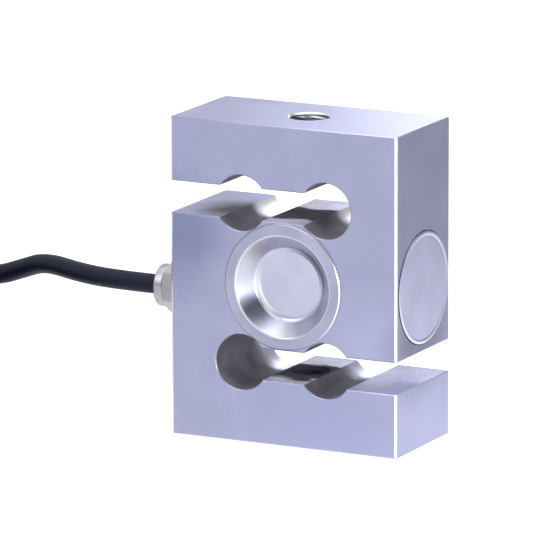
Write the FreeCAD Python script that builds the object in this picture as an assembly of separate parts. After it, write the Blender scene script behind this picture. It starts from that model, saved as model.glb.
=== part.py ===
"""Sealed S type load cell with a bonded gauge bridge, a cable gland and a coiled lead.

Sizes are millimetres. The origin is the centre of the bottom loading face. +Z runs up the
load axis, -Y points to the front cover, +X to the side cover and -X to the cable gland.
"""
import FreeCAD
import Part

import math
import os

from FreeCAD import Placement, Rotation, Vector

RIGHT, LEFT = Vector(1, 0, 0), Vector(-1, 0, 0)
BACK, FRONT = Vector(0, 1, 0), Vector(0, -1, 0)
UP = Vector(0, 0, 1)
TOLERANCE = 1e-4
OVERRUN = 1.0
MITRED = 1

# Elastic body: a block with two slots, each open to one side and ended by round lobes.
BODY_WIDTH = 62.0
BODY_DEPTH = 30.0
BODY_HEIGHT = 80.0
ARM_THICKNESS = 16.0
SLOT_HEIGHT = 8.0
LOBE_RADIUS = 7.0
LOBE_OFFSET = 11.5
CORNER_CHAMFER = 0.6
EDGE_BREAK = 0.2

# Loading threads, top and bottom, bored at their major radius.
THREAD_RADIUS = 5.0
THREAD_CHAMFER = 0.4

# Gauge bore, and the turned cups that close it at the front and the rear.
GAUGE_BORE_WALL = 2.15
SPIGOT_CLEARANCE = 0.05
SPIGOT_LENGTH = 1.2
FLANGE_SEAT = 2.0
FLANGE_THICKNESS = 0.5
FLANGE_CHAMFER = 0.45
CUP_RIM_WALL = 1.0
CUP_TAPER = 3.8
CUP_DEPTH = 4.6
CUP_WALL = 0.8
CUP_FLOOR_ROUND = 1.8

# Foil gauges and solder terminals, bonded to the bore wall over the four thin webs.
BOND_LINE = 0.02
GAUGE_LENGTH = 6.0
GAUGE_SWEEP = 26.0
GAUGE_THICKNESS = 0.15
TERMINAL_LENGTH = 4.0
TERMINAL_SWEEP = 11.0
TERMINAL_THICKNESS = 0.4
TERMINAL_GAP = 0.7

# Side pocket for the compensation board, under a welded disc.
SIDE_SEAT_WALL = 1.75
SIDE_SEAT_DEPTH = 1.2
SIDE_COVER_GROOVE = 0.25
SIDE_COVER_PROUD = 0.35
SIDE_COVER_CHAMFER = 0.35
SIDE_LEDGE = 2.25
POCKET_DEPTH = 8.0
DUCT_RADIUS = 2.6
PAD_THICKNESS = 1.5
PAD_MARGIN = 2.1
BOARD_CLEARANCE = 0.4
BOARD_THICKNESS = 1.0
RESISTOR_RADIUS = 0.9
RESISTOR_LENGTH = 4.6
RESISTOR_CIRCLE_SHARE = 0.76
RESISTOR_ANGLES = {
    "zero_balance_resistor": 22.0,
    "span_resistor": 112.0,
    "zero_temperature_resistor": 202.0,
    "span_temperature_resistor": 292.0,
}

# Cable and its four cores.
CABLE_RADIUS = 2.5
CORE_RADIUS = 0.55
CORE_PITCH = 1.3
CORE_PAD_SHARE = 0.55
CORE_ANGLES = {"red": 45.0, "black": 135.0, "green": 225.0, "white": 315.0}
CORE_LEAD_OUT = 7.0
CABLE_TRIM_LENGTH = 18.0

# Leads from the solder terminals to the board.
GAUGE_LEAD_RADIUS = 0.3
GAUGE_LEAD_CLEARANCE = 0.3
GAUGE_LEAD_PAD_SHARE = 0.4
GAUGE_LEAD_LIFT = 5.0
DUCT_APPROACH = 3.0
LEAD_LOOP_HEIGHT = 1.4

# Cable gland on the left face, a little above the lower slot.
GLAND_RISE = 9.7
GLAND_TAPPED_RADIUS = 4.0
GLAND_TAPPED_DEPTH = 11.0
GLAND_SHANK_LENGTH = 10.0
GLAND_THREAD_CLEARANCE = 0.05
GLAND_ACROSS_FLATS = 12.0
GLAND_HEX_TURN = 8.0
GLAND_HEX_LENGTH = 7.2
GLAND_HEX_CHAMFER = 0.8
GLAND_SEAL_RADIUS = 4.6
GLAND_SEAL_FLOOR = 2.0
GLAND_SEAL_LENGTH = 2.6
GLAND_WASHER_THICKNESS = 0.5
GLAND_FIT = 0.05
GLAND_NECK_GAP = 0.7
GLAND_NOSE_RADIUS = 5.4
GLAND_NOSE_LENGTH = 2.3
GLAND_NOSE_CHAMFER = 0.4
CABLE_CLEARANCE = 0.15
O_RING_SECTION_RADIUS = 0.4
O_RING_FLAT = 0.2
O_RING_SEAT_CLEARANCE = 0.2

# Lead put away in a neat round coil that stands beside the cell on two ties.
ARC_SHARE = 0.45
COIL_MEAN_RADIUS = 26.0
COIL_LAYERS = 6
COIL_COLUMNS = 3
COIL_BEYOND = 122.0
COIL_ASIDE = 18.0
COIL_STUB_LENGTH = 19.0
COIL_LEAD_ANGLE = 90.0
COIL_TAIL_ANGLE = 240.0
COIL_EDGE_CHAMFER = 1.5
LEAD_LAST_RUN = 8.0
TIE_THICKNESS = 0.8
TIE_WIDTH = 4.0
TIE_CLEARANCE = 0.2
TIE_CORNER_ROUND = 1.2
TIE_HEAD_WIDTH = 5.0
TIE_HEAD_HEIGHT = 4.0
TIE_ANGLES = (140.0, 320.0)

# Bare end of the lead: a shrink sleeve, four cores and the drain wire.
TAIL_RUN = 8.0
TAIL_TURNS = (20.0, 20.0)
SLEEVE_WALL = 0.8
SLEEVE_OVERLAP = 5.0
SLEEVE_NECK_RADIUS = 2.2
SLEEVE_LENGTH = 13.0
SLEEVE_FIT = 0.02
TAIL_CORE_PITCH = 1.7
TAIL_CORE_LENGTH = 28.0
TAIL_CORES = {
    "red": (1, 1, 9.0),
    "black": (1, -1, 23.0),
    "green": (-1, 1, -9.0),
    "white": (-1, -1, -23.0),
    "drain": (0, 0, 0.0),
}

# Worked out from the sizes above.
HALF_WIDTH = BODY_WIDTH / 2
HALF_DEPTH = BODY_DEPTH / 2
BORE_CENTRE = Vector(0, 0, BODY_HEIGHT / 2)
HALF_MIDDLE = BODY_HEIGHT / 2 - ARM_THICKNESS - SLOT_HEIGHT
SLOT_CENTRE = ARM_THICKNESS + SLOT_HEIGHT / 2
WEB_ANGLE = math.degrees(math.atan2(BODY_HEIGHT / 2 - SLOT_CENTRE, LOBE_OFFSET))
WEBS = {
    "upper_right": (WEB_ANGLE, 1, 0),
    "upper_left": (180 - WEB_ANGLE, 1, 90),
    "lower_left": (180 + WEB_ANGLE, -1, 180),
    "lower_right": (360 - WEB_ANGLE, -1, 270),
}
TERMINAL_SHIFT = (GAUGE_LENGTH + TERMINAL_LENGTH) / 2 + TERMINAL_GAP
GAUGE_BORE_RADIUS = HALF_MIDDLE - GAUGE_BORE_WALL
SPIGOT_RADIUS = GAUGE_BORE_RADIUS - SPIGOT_CLEARANCE
FLANGE_RADIUS = SPIGOT_RADIUS + FLANGE_SEAT
CUP_MOUTH_RADIUS = SPIGOT_RADIUS - CUP_RIM_WALL
CUP_FLOOR_RADIUS = CUP_MOUTH_RADIUS - CUP_TAPER
SIDE_SEAT_RADIUS = HALF_MIDDLE - SIDE_SEAT_WALL
POCKET_RADIUS = SIDE_SEAT_RADIUS - SIDE_LEDGE
BOARD_RADIUS = POCKET_RADIUS - BOARD_CLEARANCE
GAUGE_LEAD_CIRCLE = DUCT_RADIUS - GAUGE_LEAD_CLEARANCE - GAUGE_LEAD_RADIUS
SIDE_FACE_CENTRE = BORE_CENTRE + RIGHT * HALF_WIDTH
POCKET_FLOOR = SIDE_FACE_CENTRE + LEFT * (SIDE_SEAT_DEPTH + POCKET_DEPTH)
BOARD_FACE = POCKET_FLOOR + RIGHT * (PAD_THICKNESS + BOARD_THICKNESS)
GLAND_BASE = LEFT * HALF_WIDTH + UP * (ARM_THICKNESS + SLOT_HEIGHT + GLAND_RISE)
GLAND_NECK_END = GLAND_HEX_LENGTH + GLAND_NECK_GAP
GLAND_LENGTH = GLAND_NECK_END + GLAND_NOSE_LENGTH
CABLE_EXIT = GLAND_BASE + LEFT * GLAND_LENGTH
CABLE_TRIM = GLAND_BASE + RIGHT * CABLE_TRIM_LENGTH
CABLE_DIAMETER = 2 * CABLE_RADIUS
COIL_CENTRE = Vector(-COIL_BEYOND, -COIL_ASIDE, 0)
COIL_TOP_TURN = TIE_THICKNESS + (COIL_LAYERS - 0.5) * CABLE_DIAMETER
COIL_BOTTOM_TURN = TIE_THICKNESS + CABLE_RADIUS
COIL_OUTER_TURN = COIL_MEAN_RADIUS + (COIL_COLUMNS - 1) * CABLE_RADIUS
SLEEVE_RADIUS = CABLE_RADIUS + SLEEVE_WALL
O_RING_SEAT_DEPTH = 2 * O_RING_SECTION_RADIUS
O_RING_SEAT_RADIUS = GLAND_TAPPED_RADIUS + O_RING_SEAT_DEPTH + O_RING_SEAT_CLEARANCE
CABLE_BORE_RADIUS = CABLE_RADIUS + CABLE_CLEARANCE
COIL_TOP = TIE_THICKNESS + COIL_LAYERS * CABLE_DIAMETER
LEVELS = (
    0,
    ARM_THICKNESS,
    ARM_THICKNESS + SLOT_HEIGHT,
    BODY_HEIGHT - ARM_THICKNESS - SLOT_HEIGHT,
    BODY_HEIGHT - ARM_THICKNESS,
    BODY_HEIGHT,
)


def flat(points):
    """Flat face inside a closed outline of straight sides."""
    return Part.Face(Part.makePolygon(points + points[:1]))


def turned(profile, base, axis, rounds=()):
    """Solid turned about an axis from (radius, distance along the axis) points.

    Each of rounds is (radius, distance, size) and names a sharp ring edge to round off.
    """
    solid = flat([Vector(radius, 0, distance) for radius, distance in profile])
    solid = solid.revolve(Vector(), UP, 360)
    for radius, distance, size in rounds:
        solid = solid.makeFillet(size, ring_edges(solid, radius, distance))
    solid.Placement = Placement(base, Rotation(UP, axis))
    return solid


def ring(inner, outer, start, length, base, axis):
    """Plain ring between two radii, from a start distance along its axis."""
    end = start + length
    return turned([(inner, start), (outer, start), (outer, end), (inner, end)], base, axis)


def ring_edges(solid, radius, distance):
    """Circular edges of a solid about Z, at one radius and one height."""
    rings = [edge for edge in solid.Edges if isinstance(edge.Curve, Part.Circle)]
    return [
        edge for edge in rings
        if abs(edge.Curve.Radius - radius) < TOLERANCE
        and abs(edge.Curve.Center.z - distance) < TOLERANCE
    ]


def drilled(radius, depth, face_centre, inwards):
    """Round cutter that starts a little outside a face and goes in to a depth."""
    return Part.makeCylinder(radius, depth + OVERRUN, face_centre - inwards * OVERRUN, inwards)


def mouth_chamfer(radius, size, face_centre, inwards):
    """Conical cutter for the chamfered mouth of a round hole."""
    wide = radius + size + OVERRUN
    return turned([(0, -OVERRUN), (wide, -OVERRUN), (radius, size), (0, size)], face_centre, inwards)


def edges_at(shape, test):
    """Edges whose ends and middle all pass a test on their position."""
    def passes(edge):
        middle = edge.valueAt((edge.FirstParameter + edge.LastParameter) / 2)
        return all(test(point) for point in [v.Point for v in edge.Vertexes] + [middle])

    return [edge for edge in shape.Edges if passes(edge)]


def tube_along(points, radius, label=None):
    """Round tube on straight runs joined by the largest tangent arcs that they allow."""
    edges, bends, start = [], [], points[0]
    for before, corner, after in zip(points, points[1:], points[2:]):
        back, onward = before - corner, after - corner
        reach = ARC_SHARE * min(back.Length, onward.Length)
        half_turn = (math.pi - back.getAngle(onward)) / 2
        back.normalize()
        onward.normalize()
        bend = reach / math.tan(half_turn)
        inside = (back + onward).normalize() * (bend / math.cos(half_turn) - bend)
        first, last = corner + back * reach, corner + onward * reach
        edges.append(Part.LineSegment(start, first).toShape())
        edges.append(Part.Arc(first, corner + inside, last).toShape())
        bends.append(bend)
        start = last
    edges.append(Part.LineSegment(start, points[-1]).toShape())
    path = Part.Wire(edges)
    section = Part.Wire(Part.makeCircle(radius, points[0], points[1] - points[0]))
    if label:
        radii = ", ".join(f"{bend:.0f}" for bend in bends)
        print(f"{label}: {path.Length:.1f} long, bend radii {radii}")
    return path.makePipeShell([section], True, False)


def wire_along(points, radius):
    """Thin round wire on straight runs, bent sharp at each corner."""
    section = Part.Wire(Part.makeCircle(radius, points[0], points[1] - points[0]))
    return Part.makePolygon(points).makePipeShell([section], True, False, MITRED)


def slot_profile(height, opens):
    """Flat outline of one slot: it opens at a side face and ends in the far lobe."""
    mouth, end = opens * (HALF_WIDTH + OVERRUN), -opens * LOBE_OFFSET
    low, high = height - SLOT_HEIGHT / 2, height + SLOT_HEIGHT / 2
    slot = flat([Vector(mouth, 0, low), Vector(end, 0, low), Vector(end, 0, high), Vector(mouth, 0, high)])
    lobes = [
        Part.Face(Part.Wire(Part.makeCircle(LOBE_RADIUS, Vector(x, 0, height), BACK)))
        for x in (-LOBE_OFFSET, LOBE_OFFSET)
    ]
    return slot.fuse(lobes).removeSplitter()


def s_block():
    """The S outline drawn on the middle plane, extruded, and eased at its edges."""
    low_left, low_right = LEFT * HALF_WIDTH, RIGHT * HALF_WIDTH
    rise = UP * BODY_HEIGHT
    outline = flat([low_left, low_right, low_right + rise, low_left + rise])
    outline = outline.cut(slot_profile(SLOT_CENTRE, 1))
    outline = outline.cut(slot_profile(BODY_HEIGHT - SLOT_CENTRE, -1))
    outline.translate(FRONT * HALF_DEPTH)
    block = outline.extrude(BACK * BODY_DEPTH)
    block = block.makeChamfer(CORNER_CHAMFER, edges_at(block, at_corner))
    return block.makeChamfer(EDGE_BREAK, edges_at(block, at_eased_edge))


def at_corner(point):
    """Whether a point lies on an upright corner of the block."""
    return (
        abs(abs(point.x) - HALF_WIDTH) < TOLERANCE
        and abs(abs(point.y) - HALF_DEPTH) < TOLERANCE
    )


def at_eased_edge(point):
    """Whether a point lies on the S outline of the front or rear face, between its corners."""
    flat_half = HALF_WIDTH - CORNER_CHAMFER
    at_level = min(abs(point.z - level) for level in LEVELS) < TOLERANCE
    on_face = abs(abs(point.y) - HALF_DEPTH) < TOLERANCE
    on_side = abs(point.x) > flat_half - TOLERANCE
    return (on_face and not on_side) or (at_level and (on_face or on_side))


def body():
    """Elastic body: S block with loading threads, gauge bore, side pocket and gland hole."""
    block = s_block()
    for face_centre, inwards in ((Vector(), UP), (UP * BODY_HEIGHT, UP * -1)):
        block = block.cut(drilled(THREAD_RADIUS, ARM_THICKNESS + OVERRUN, face_centre, inwards))
        block = block.cut(mouth_chamfer(THREAD_RADIUS, THREAD_CHAMFER, face_centre, inwards))
    bore_front = BORE_CENTRE + FRONT * HALF_DEPTH
    cutters = [
        drilled(GAUGE_BORE_RADIUS, BODY_DEPTH + OVERRUN, bore_front, BACK),
        drilled(SIDE_SEAT_RADIUS, SIDE_SEAT_DEPTH, SIDE_FACE_CENTRE, LEFT),
        drilled(POCKET_RADIUS, SIDE_SEAT_DEPTH + POCKET_DEPTH, SIDE_FACE_CENTRE, LEFT),
        drilled(DUCT_RADIUS, HALF_WIDTH, SIDE_FACE_CENTRE, LEFT),
        drilled(GLAND_TAPPED_RADIUS, GLAND_TAPPED_DEPTH, GLAND_BASE, RIGHT),
        drilled(CABLE_BORE_RADIUS, HALF_WIDTH, GLAND_BASE, RIGHT),
        drilled(O_RING_SEAT_RADIUS, O_RING_SEAT_DEPTH, GLAND_BASE, RIGHT),
    ]
    for cutter in cutters:
        block = block.cut(cutter)
    return block


def cup_cover(outwards):
    """Turned cup: spigot in the gauge bore, flange on the face, conical recess, flat floor."""
    floor = FLANGE_THICKNESS - CUP_DEPTH
    slope = CUP_TAPER / CUP_DEPTH
    wall_across = CUP_WALL * math.hypot(1, slope)

    def back_radius(distance):
        return CUP_FLOOR_RADIUS + (distance - floor) * slope + wall_across

    profile = [
        (0, floor - CUP_WALL),
        (back_radius(floor - CUP_WALL), floor - CUP_WALL),
        (back_radius(-SPIGOT_LENGTH), -SPIGOT_LENGTH),
        (SPIGOT_RADIUS, -SPIGOT_LENGTH),
        (SPIGOT_RADIUS, 0),
        (FLANGE_RADIUS, 0),
        (FLANGE_RADIUS, FLANGE_THICKNESS - FLANGE_CHAMFER),
        (FLANGE_RADIUS - FLANGE_CHAMFER, FLANGE_THICKNESS),
        (CUP_MOUTH_RADIUS, FLANGE_THICKNESS),
        (CUP_FLOOR_RADIUS, floor),
        (0, floor),
    ]
    rounds = [(CUP_FLOOR_RADIUS, floor, CUP_FLOOR_ROUND)]
    return turned(profile, BORE_CENTRE + outwards * HALF_DEPTH, outwards, rounds)


def bore_patch(angle, sweep, length, thickness, shift=0.0):
    """Thin pad bonded to the bore wall, centred on an angle from +X towards +Z and a shift along +Y."""
    outer, near, far = GAUGE_BORE_RADIUS - BOND_LINE, shift - length / 2, shift + length / 2
    inner = outer - thickness
    corners = ((inner, near), (outer, near), (outer, far), (inner, far))
    section = flat([BORE_CENTRE + Vector(radius, y, 0) for radius, y in corners])
    pad = section.revolve(BORE_CENTRE, FRONT, sweep)
    pad.rotate(BORE_CENTRE, FRONT, angle - sweep / 2)
    return pad


def strain_gauge(web_angle):
    """Foil gauge bonded over one of the thin webs between the bore and a lobe."""
    return bore_patch(web_angle, GAUGE_SWEEP, GAUGE_LENGTH, GAUGE_THICKNESS)


def terminal(web_angle, side):
    """Solder terminal beside one gauge, behind it or in front of it."""
    shift = side * TERMINAL_SHIFT
    return bore_patch(web_angle, TERMINAL_SWEEP, TERMINAL_LENGTH, TERMINAL_THICKNESS, shift)


def side_cover():
    """Disc in the shallow seat over the board pocket, with a chamfered rim left proud."""
    radius = SIDE_SEAT_RADIUS - SIDE_COVER_GROOVE
    profile = [
        (0, -SIDE_SEAT_DEPTH),
        (radius, -SIDE_SEAT_DEPTH),
        (radius, SIDE_COVER_PROUD - SIDE_COVER_CHAMFER),
        (radius - SIDE_COVER_CHAMFER, SIDE_COVER_PROUD),
        (0, SIDE_COVER_PROUD),
    ]
    return turned(profile, SIDE_FACE_CENTRE, RIGHT)


def board_pad():
    """Foam ring that carries the board on the pocket floor."""
    return ring(DUCT_RADIUS, POCKET_RADIUS - PAD_MARGIN, 0, PAD_THICKNESS, POCKET_FLOOR, RIGHT)


def compensation_board():
    """Round board with a centre hole for the wiring."""
    return ring(DUCT_RADIUS, BOARD_RADIUS, PAD_THICKNESS, BOARD_THICKNESS, POCKET_FLOOR, RIGHT)


def across_board(angle, radius=1.0):
    """Vector of one length in the board's plane, at an angle from +Y towards +Z."""
    turn = math.radians(angle)
    return Vector(0, math.cos(turn), math.sin(turn)) * radius


def resistor(angle):
    """Trim resistor that lies on the board, square to the radius at its angle."""
    centre = BOARD_FACE + RIGHT * RESISTOR_RADIUS + across_board(angle, RESISTOR_CIRCLE_SHARE * BOARD_RADIUS)
    along = across_board(angle + 90)
    return Part.makeCylinder(RESISTOR_RADIUS, RESISTOR_LENGTH, centre - along * RESISTOR_LENGTH / 2, along)


def to_board(angle, offset, pad_share, wire_radius):
    """Points of a wire from the gauge bore, through the duct, to its pad on the board."""
    through, outward = across_board(angle, offset), across_board(angle, pad_share * BOARD_RADIUS)
    duct_mouth = BORE_CENTRE + RIGHT * (GAUGE_BORE_RADIUS - DUCT_APPROACH)
    loop_top = BOARD_FACE + RIGHT * (LEAD_LOOP_HEIGHT + wire_radius)
    return [duct_mouth + through, loop_top + through, loop_top + outward, BOARD_FACE + outward]


def bridge_wire(angle):
    """Cable core from the trimmed jacket, through the bore and the duct, to the board."""
    offset = CORE_PITCH / math.sqrt(2)
    start = CABLE_TRIM + across_board(angle, offset)
    points = [start, start + RIGHT * CORE_LEAD_OUT]
    return wire_along(points + to_board(angle, offset, CORE_PAD_SHARE, CORE_RADIUS), CORE_RADIUS)


def gauge_lead(web_angle, side, duct_angle):
    """Enamelled pair from a solder terminal, through the duct, to the board."""
    turn = math.radians(web_angle)
    radial = Vector(math.cos(turn), 0, math.sin(turn))
    terminal_face = GAUGE_BORE_RADIUS - BOND_LINE - TERMINAL_THICKNESS
    start = BORE_CENTRE + radial * terminal_face + BACK * (side * TERMINAL_SHIFT)
    points = [start, start - radial * GAUGE_LEAD_LIFT]
    points += to_board(duct_angle, GAUGE_LEAD_CIRCLE, GAUGE_LEAD_PAD_SHARE, GAUGE_LEAD_RADIUS)
    return wire_along(points, GAUGE_LEAD_RADIUS)


def gland_body():
    """Hexagon with a threaded shank in the wall and a bore for the seal."""
    corner_radius = GLAND_ACROSS_FLATS / math.sqrt(3)
    corners = [Rotation(UP, 60 * k + GLAND_HEX_TURN).multVec(RIGHT * corner_radius) for k in range(6)]
    hexagon = flat(corners).extrude(UP * GLAND_HEX_LENGTH)
    envelope = [
        (0, 0),
        (corner_radius, 0),
        (corner_radius, GLAND_HEX_LENGTH - GLAND_HEX_CHAMFER / 2),
        (corner_radius - GLAND_HEX_CHAMFER, GLAND_HEX_LENGTH),
        (0, GLAND_HEX_LENGTH),
    ]
    shank_end = UP * -GLAND_SHANK_LENGTH
    shank = Part.makeCylinder(
        GLAND_TAPPED_RADIUS - GLAND_THREAD_CLEARANCE, GLAND_SHANK_LENGTH, shank_end, UP
    )
    solid = hexagon.common(turned(envelope, Vector(), UP)).fuse(shank)
    through = drilled(CABLE_BORE_RADIUS, GLAND_SHANK_LENGTH + GLAND_HEX_LENGTH, shank_end, UP)
    seal_depth = GLAND_HEX_LENGTH - GLAND_SEAL_FLOOR
    seal_bore = drilled(GLAND_SEAL_RADIUS, seal_depth, UP * GLAND_HEX_LENGTH, UP * -1)
    solid = solid.cut(through).cut(seal_bore)
    solid.Placement = Placement(GLAND_BASE, Rotation(UP, LEFT))
    return solid


def gland_seal():
    """Rubber sleeve squeezed round the cable at the bottom of the seal bore."""
    inner, outer = CABLE_RADIUS + GLAND_FIT, GLAND_SEAL_RADIUS - GLAND_FIT
    return ring(inner, outer, GLAND_SEAL_FLOOR, GLAND_SEAL_LENGTH, GLAND_BASE, LEFT)


def gland_washer():
    """Slip washer between the seal and the nut."""
    start = GLAND_SEAL_FLOOR + GLAND_SEAL_LENGTH
    outer = GLAND_SEAL_RADIUS - GLAND_FIT
    return ring(CABLE_BORE_RADIUS, outer, start, GLAND_WASHER_THICKNESS, GLAND_BASE, LEFT)


def gland_nut():
    """Round compression nut: its spigot presses the washer, its nose stands off the hexagon."""
    spigot = GLAND_SEAL_RADIUS - GLAND_FIT
    start = GLAND_SEAL_FLOOR + GLAND_SEAL_LENGTH + GLAND_WASHER_THICKNESS
    profile = [
        (CABLE_BORE_RADIUS, start),
        (spigot, start),
        (spigot, GLAND_NECK_END),
        (GLAND_NOSE_RADIUS, GLAND_NECK_END),
        (GLAND_NOSE_RADIUS, GLAND_LENGTH - GLAND_NOSE_CHAMFER),
        (GLAND_NOSE_RADIUS - GLAND_NOSE_CHAMFER, GLAND_LENGTH),
        (CABLE_BORE_RADIUS, GLAND_LENGTH),
    ]
    return turned(profile, GLAND_BASE, LEFT)


def gland_o_ring():
    """Squeezed ring between the hexagon and the counterbore round the tapped hole."""
    middle, low, high = GLAND_TAPPED_RADIUS + O_RING_SECTION_RADIUS, -O_RING_SEAT_DEPTH, 0
    bulge = (low + high) / 2
    profile = [
        (middle - O_RING_FLAT, low),
        (middle + O_RING_FLAT, low),
        (middle + O_RING_SECTION_RADIUS, bulge),
        (middle + O_RING_FLAT, high),
        (middle - O_RING_FLAT, high),
        (middle - O_RING_SECTION_RADIUS, bulge),
    ]
    return turned(profile, GLAND_BASE, LEFT)


def cable_in_gland():
    """Straight stretch of the cable, from the trimmed jacket to the gland's mouth."""
    length = CABLE_TRIM.distanceToPoint(CABLE_EXIT)
    return Part.makeCylinder(CABLE_RADIUS, length, CABLE_TRIM, LEFT)


def heading(angle):
    """Level unit vector at an angle from +X towards +Y."""
    return Vector(math.cos(math.radians(angle)), math.sin(math.radians(angle)), 0)


def on_coil(angle, height):
    """Point of the outer turn at one height, and the direction of winding there."""
    return COIL_CENTRE + heading(angle) * COIL_OUTER_TURN + UP * height, heading(angle + 90)


def lead_end():
    """Where the free lead meets the straight end of the coil's top turn."""
    join, onward = on_coil(COIL_LEAD_ANGLE, COIL_TOP_TURN)
    return join - onward * COIL_STUB_LENGTH


def cable_lead():
    """Free stretch of the cable, from the gland to the coil."""
    route = [(-12.0, 0, 0), (-24.0, 2.7, 0), (-38.0, 8.9, 0.5), (-46.0, 11.6, -2.5)]
    points = [CABLE_EXIT] + [CABLE_EXIT + Vector(*offset) for offset in route]
    return tube_along(points + [lead_end() + RIGHT * LEAD_LAST_RUN, lead_end()], CABLE_RADIUS, "cable_lead")


def cable_coil():
    """Outer shape of the wound turns, with the two straight ends that leave it."""
    half, cut = COIL_COLUMNS * CABLE_RADIUS, COIL_EDGE_CHAMFER
    low, high = TIE_THICKNESS, COIL_TOP
    section = ((half - cut, low), (half, low + cut), (half, high - cut), (half - cut, high))
    profile = [(COIL_MEAN_RADIUS + across, height) for across, height in section]
    profile += [(COIL_MEAN_RADIUS - across, height) for across, height in reversed(section)]
    coil = turned(profile, COIL_CENTRE, UP)
    tail_join, onward = on_coil(COIL_TAIL_ANGLE, COIL_BOTTOM_TURN)
    for start, direction in ((lead_end(), heading(COIL_LEAD_ANGLE + 90)), (tail_join, onward)):
        coil = coil.fuse(Part.makeCylinder(CABLE_RADIUS, COIL_STUB_LENGTH, start, direction))
    return coil.removeSplitter()


def coil_tie(angle):
    """Cable tie closed round the section of the coil, with its head on the outside."""
    half, low, high = COIL_COLUMNS * CABLE_RADIUS + TIE_CLEARANCE, TIE_THICKNESS, COIL_TOP + TIE_CLEARANCE
    loops = []
    for grow in (TIE_THICKNESS, 0):
        loop = Part.makeBox(2 * (half + grow), TIE_WIDTH, high - low + 2 * grow)
        loop.translate(Vector(COIL_MEAN_RADIUS - half - grow, -TIE_WIDTH / 2, low - grow))
        across = [e for e in loop.Edges if e.tangentAt(e.FirstParameter).cross(BACK).Length < TOLERANCE]
        loops.append(loop.makeFillet(TIE_CORNER_ROUND + grow, across))
    tie = loops[0].cut(loops[1])
    head = Part.makeBox(TIE_HEAD_WIDTH, TIE_HEAD_WIDTH, TIE_HEAD_HEIGHT)
    start, middle = COIL_MEAN_RADIUS + half + TIE_THICKNESS / 2, (low + high) / 2
    head.translate(Vector(start, -TIE_HEAD_WIDTH / 2, middle - TIE_HEAD_HEIGHT / 2))
    tie = tie.fuse(head).removeSplitter()
    tie.Placement = Placement(COIL_CENTRE, Rotation(UP, angle))
    return tie


def tail_end():
    """Points of the tail beside the coil, to the end of its jacket, and its last heading."""
    join, onward = on_coil(COIL_TAIL_ANGLE, COIL_BOTTOM_TURN)
    points, angle = [join + onward * COIL_STUB_LENGTH], COIL_TAIL_ANGLE + 90
    points.append(points[0] + onward * TAIL_RUN)
    for turn in TAIL_TURNS:
        angle += turn
        points.append(points[-1] + heading(angle) * TAIL_RUN)
    return points, angle


def cable_tail():
    """Last stretch of the jacket, from the coil into the sleeve."""
    return tube_along(tail_end()[0], CABLE_RADIUS, "cable_tail")


def cable_end_sleeve():
    """Shrink sleeve over the end of the jacket, drawn in over the root of the cores."""
    points, angle = tail_end()
    inner = CABLE_RADIUS + SLEEVE_FIT
    profile = [
        (inner, -SLEEVE_OVERLAP),
        (SLEEVE_RADIUS, -SLEEVE_OVERLAP),
        (SLEEVE_RADIUS, 0),
        (SLEEVE_NECK_RADIUS, SLEEVE_RADIUS - SLEEVE_NECK_RADIUS),
        (SLEEVE_NECK_RADIUS, SLEEVE_LENGTH - SLEEVE_OVERLAP),
        (0, SLEEVE_LENGTH - SLEEVE_OVERLAP),
        (0, 0),
        (inner, 0),
    ]
    return turned(profile, points[-1], heading(angle))


def tail_core(across, above, spread):
    """Bared core that leaves the sleeve, spreads by its angle and lies down on the floor."""
    points, angle = tail_end()
    onward, outward, run = heading(angle), heading(angle + spread), TAIL_CORE_LENGTH / 4
    offset = (heading(angle + 90) * across + UP * above) * (TAIL_CORE_PITCH / 2)
    start = points[-1] + onward * (SLEEVE_LENGTH - SLEEVE_OVERLAP) + offset
    knee = start + onward * run
    landing = knee + outward * run
    landing.z = CORE_RADIUS
    return tube_along([start, knee, landing, landing + outward * 2 * run], CORE_RADIUS)


def build():
    """Every piece of the cell by its name."""
    pieces = {
        "body": body(),
        "front_cup_cover": cup_cover(FRONT),
        "rear_cup_cover": cup_cover(BACK),
        "side_cover": side_cover(),
        "board_pad": board_pad(),
        "compensation_board": compensation_board(),
        "gland_body": gland_body(),
        "gland_seal": gland_seal(),
        "gland_washer": gland_washer(),
        "gland_nut": gland_nut(),
        "gland_o_ring": gland_o_ring(),
        "cable_in_gland": cable_in_gland(),
        "cable_lead": cable_lead(),
        "cable_coil": cable_coil(),
        "cable_tail": cable_tail(),
        "cable_end_sleeve": cable_end_sleeve(),
    }
    for name, (web_angle, side, duct_angle) in WEBS.items():
        pieces[f"strain_gauge_{name}"] = strain_gauge(web_angle)
        pieces[f"terminal_{name}"] = terminal(web_angle, side)
        pieces[f"gauge_lead_{name}"] = gauge_lead(web_angle, side, duct_angle)
    for name, angle in RESISTOR_ANGLES.items():
        pieces[name] = resistor(angle)
    for colour, angle in CORE_ANGLES.items():
        pieces[f"bridge_wire_{colour}"] = bridge_wire(angle)
    for number, angle in enumerate(TIE_ANGLES, 1):
        pieces[f"coil_tie_{number}"] = coil_tie(angle)
    for colour, placing in TAIL_CORES.items():
        pieces[f"tail_core_{colour}"] = tail_core(*placing)
    return pieces


def main():
    """Write one STEP file for each piece."""
    os.makedirs("parts", exist_ok=True)
    for name, shape in build().items():
        shape.exportStep(f"parts/{name}.step")


main()
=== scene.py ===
"""Looks of an S type load cell: blasted block, bright turned covers, gland, lead and coil.

Sizes in the classes are millimetres in the cell's own frame: the origin is the centre of the
bottom face, +Z runs up the load axis, -Y to the front cover and -X to the gland. Meshes are
written in metres.
"""
from __future__ import annotations

import logging
import math
from dataclasses import dataclass, field, replace
from enum import Enum

import bmesh
import bpy
import numpy as np
from mathutils import Matrix, Vector

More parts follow.
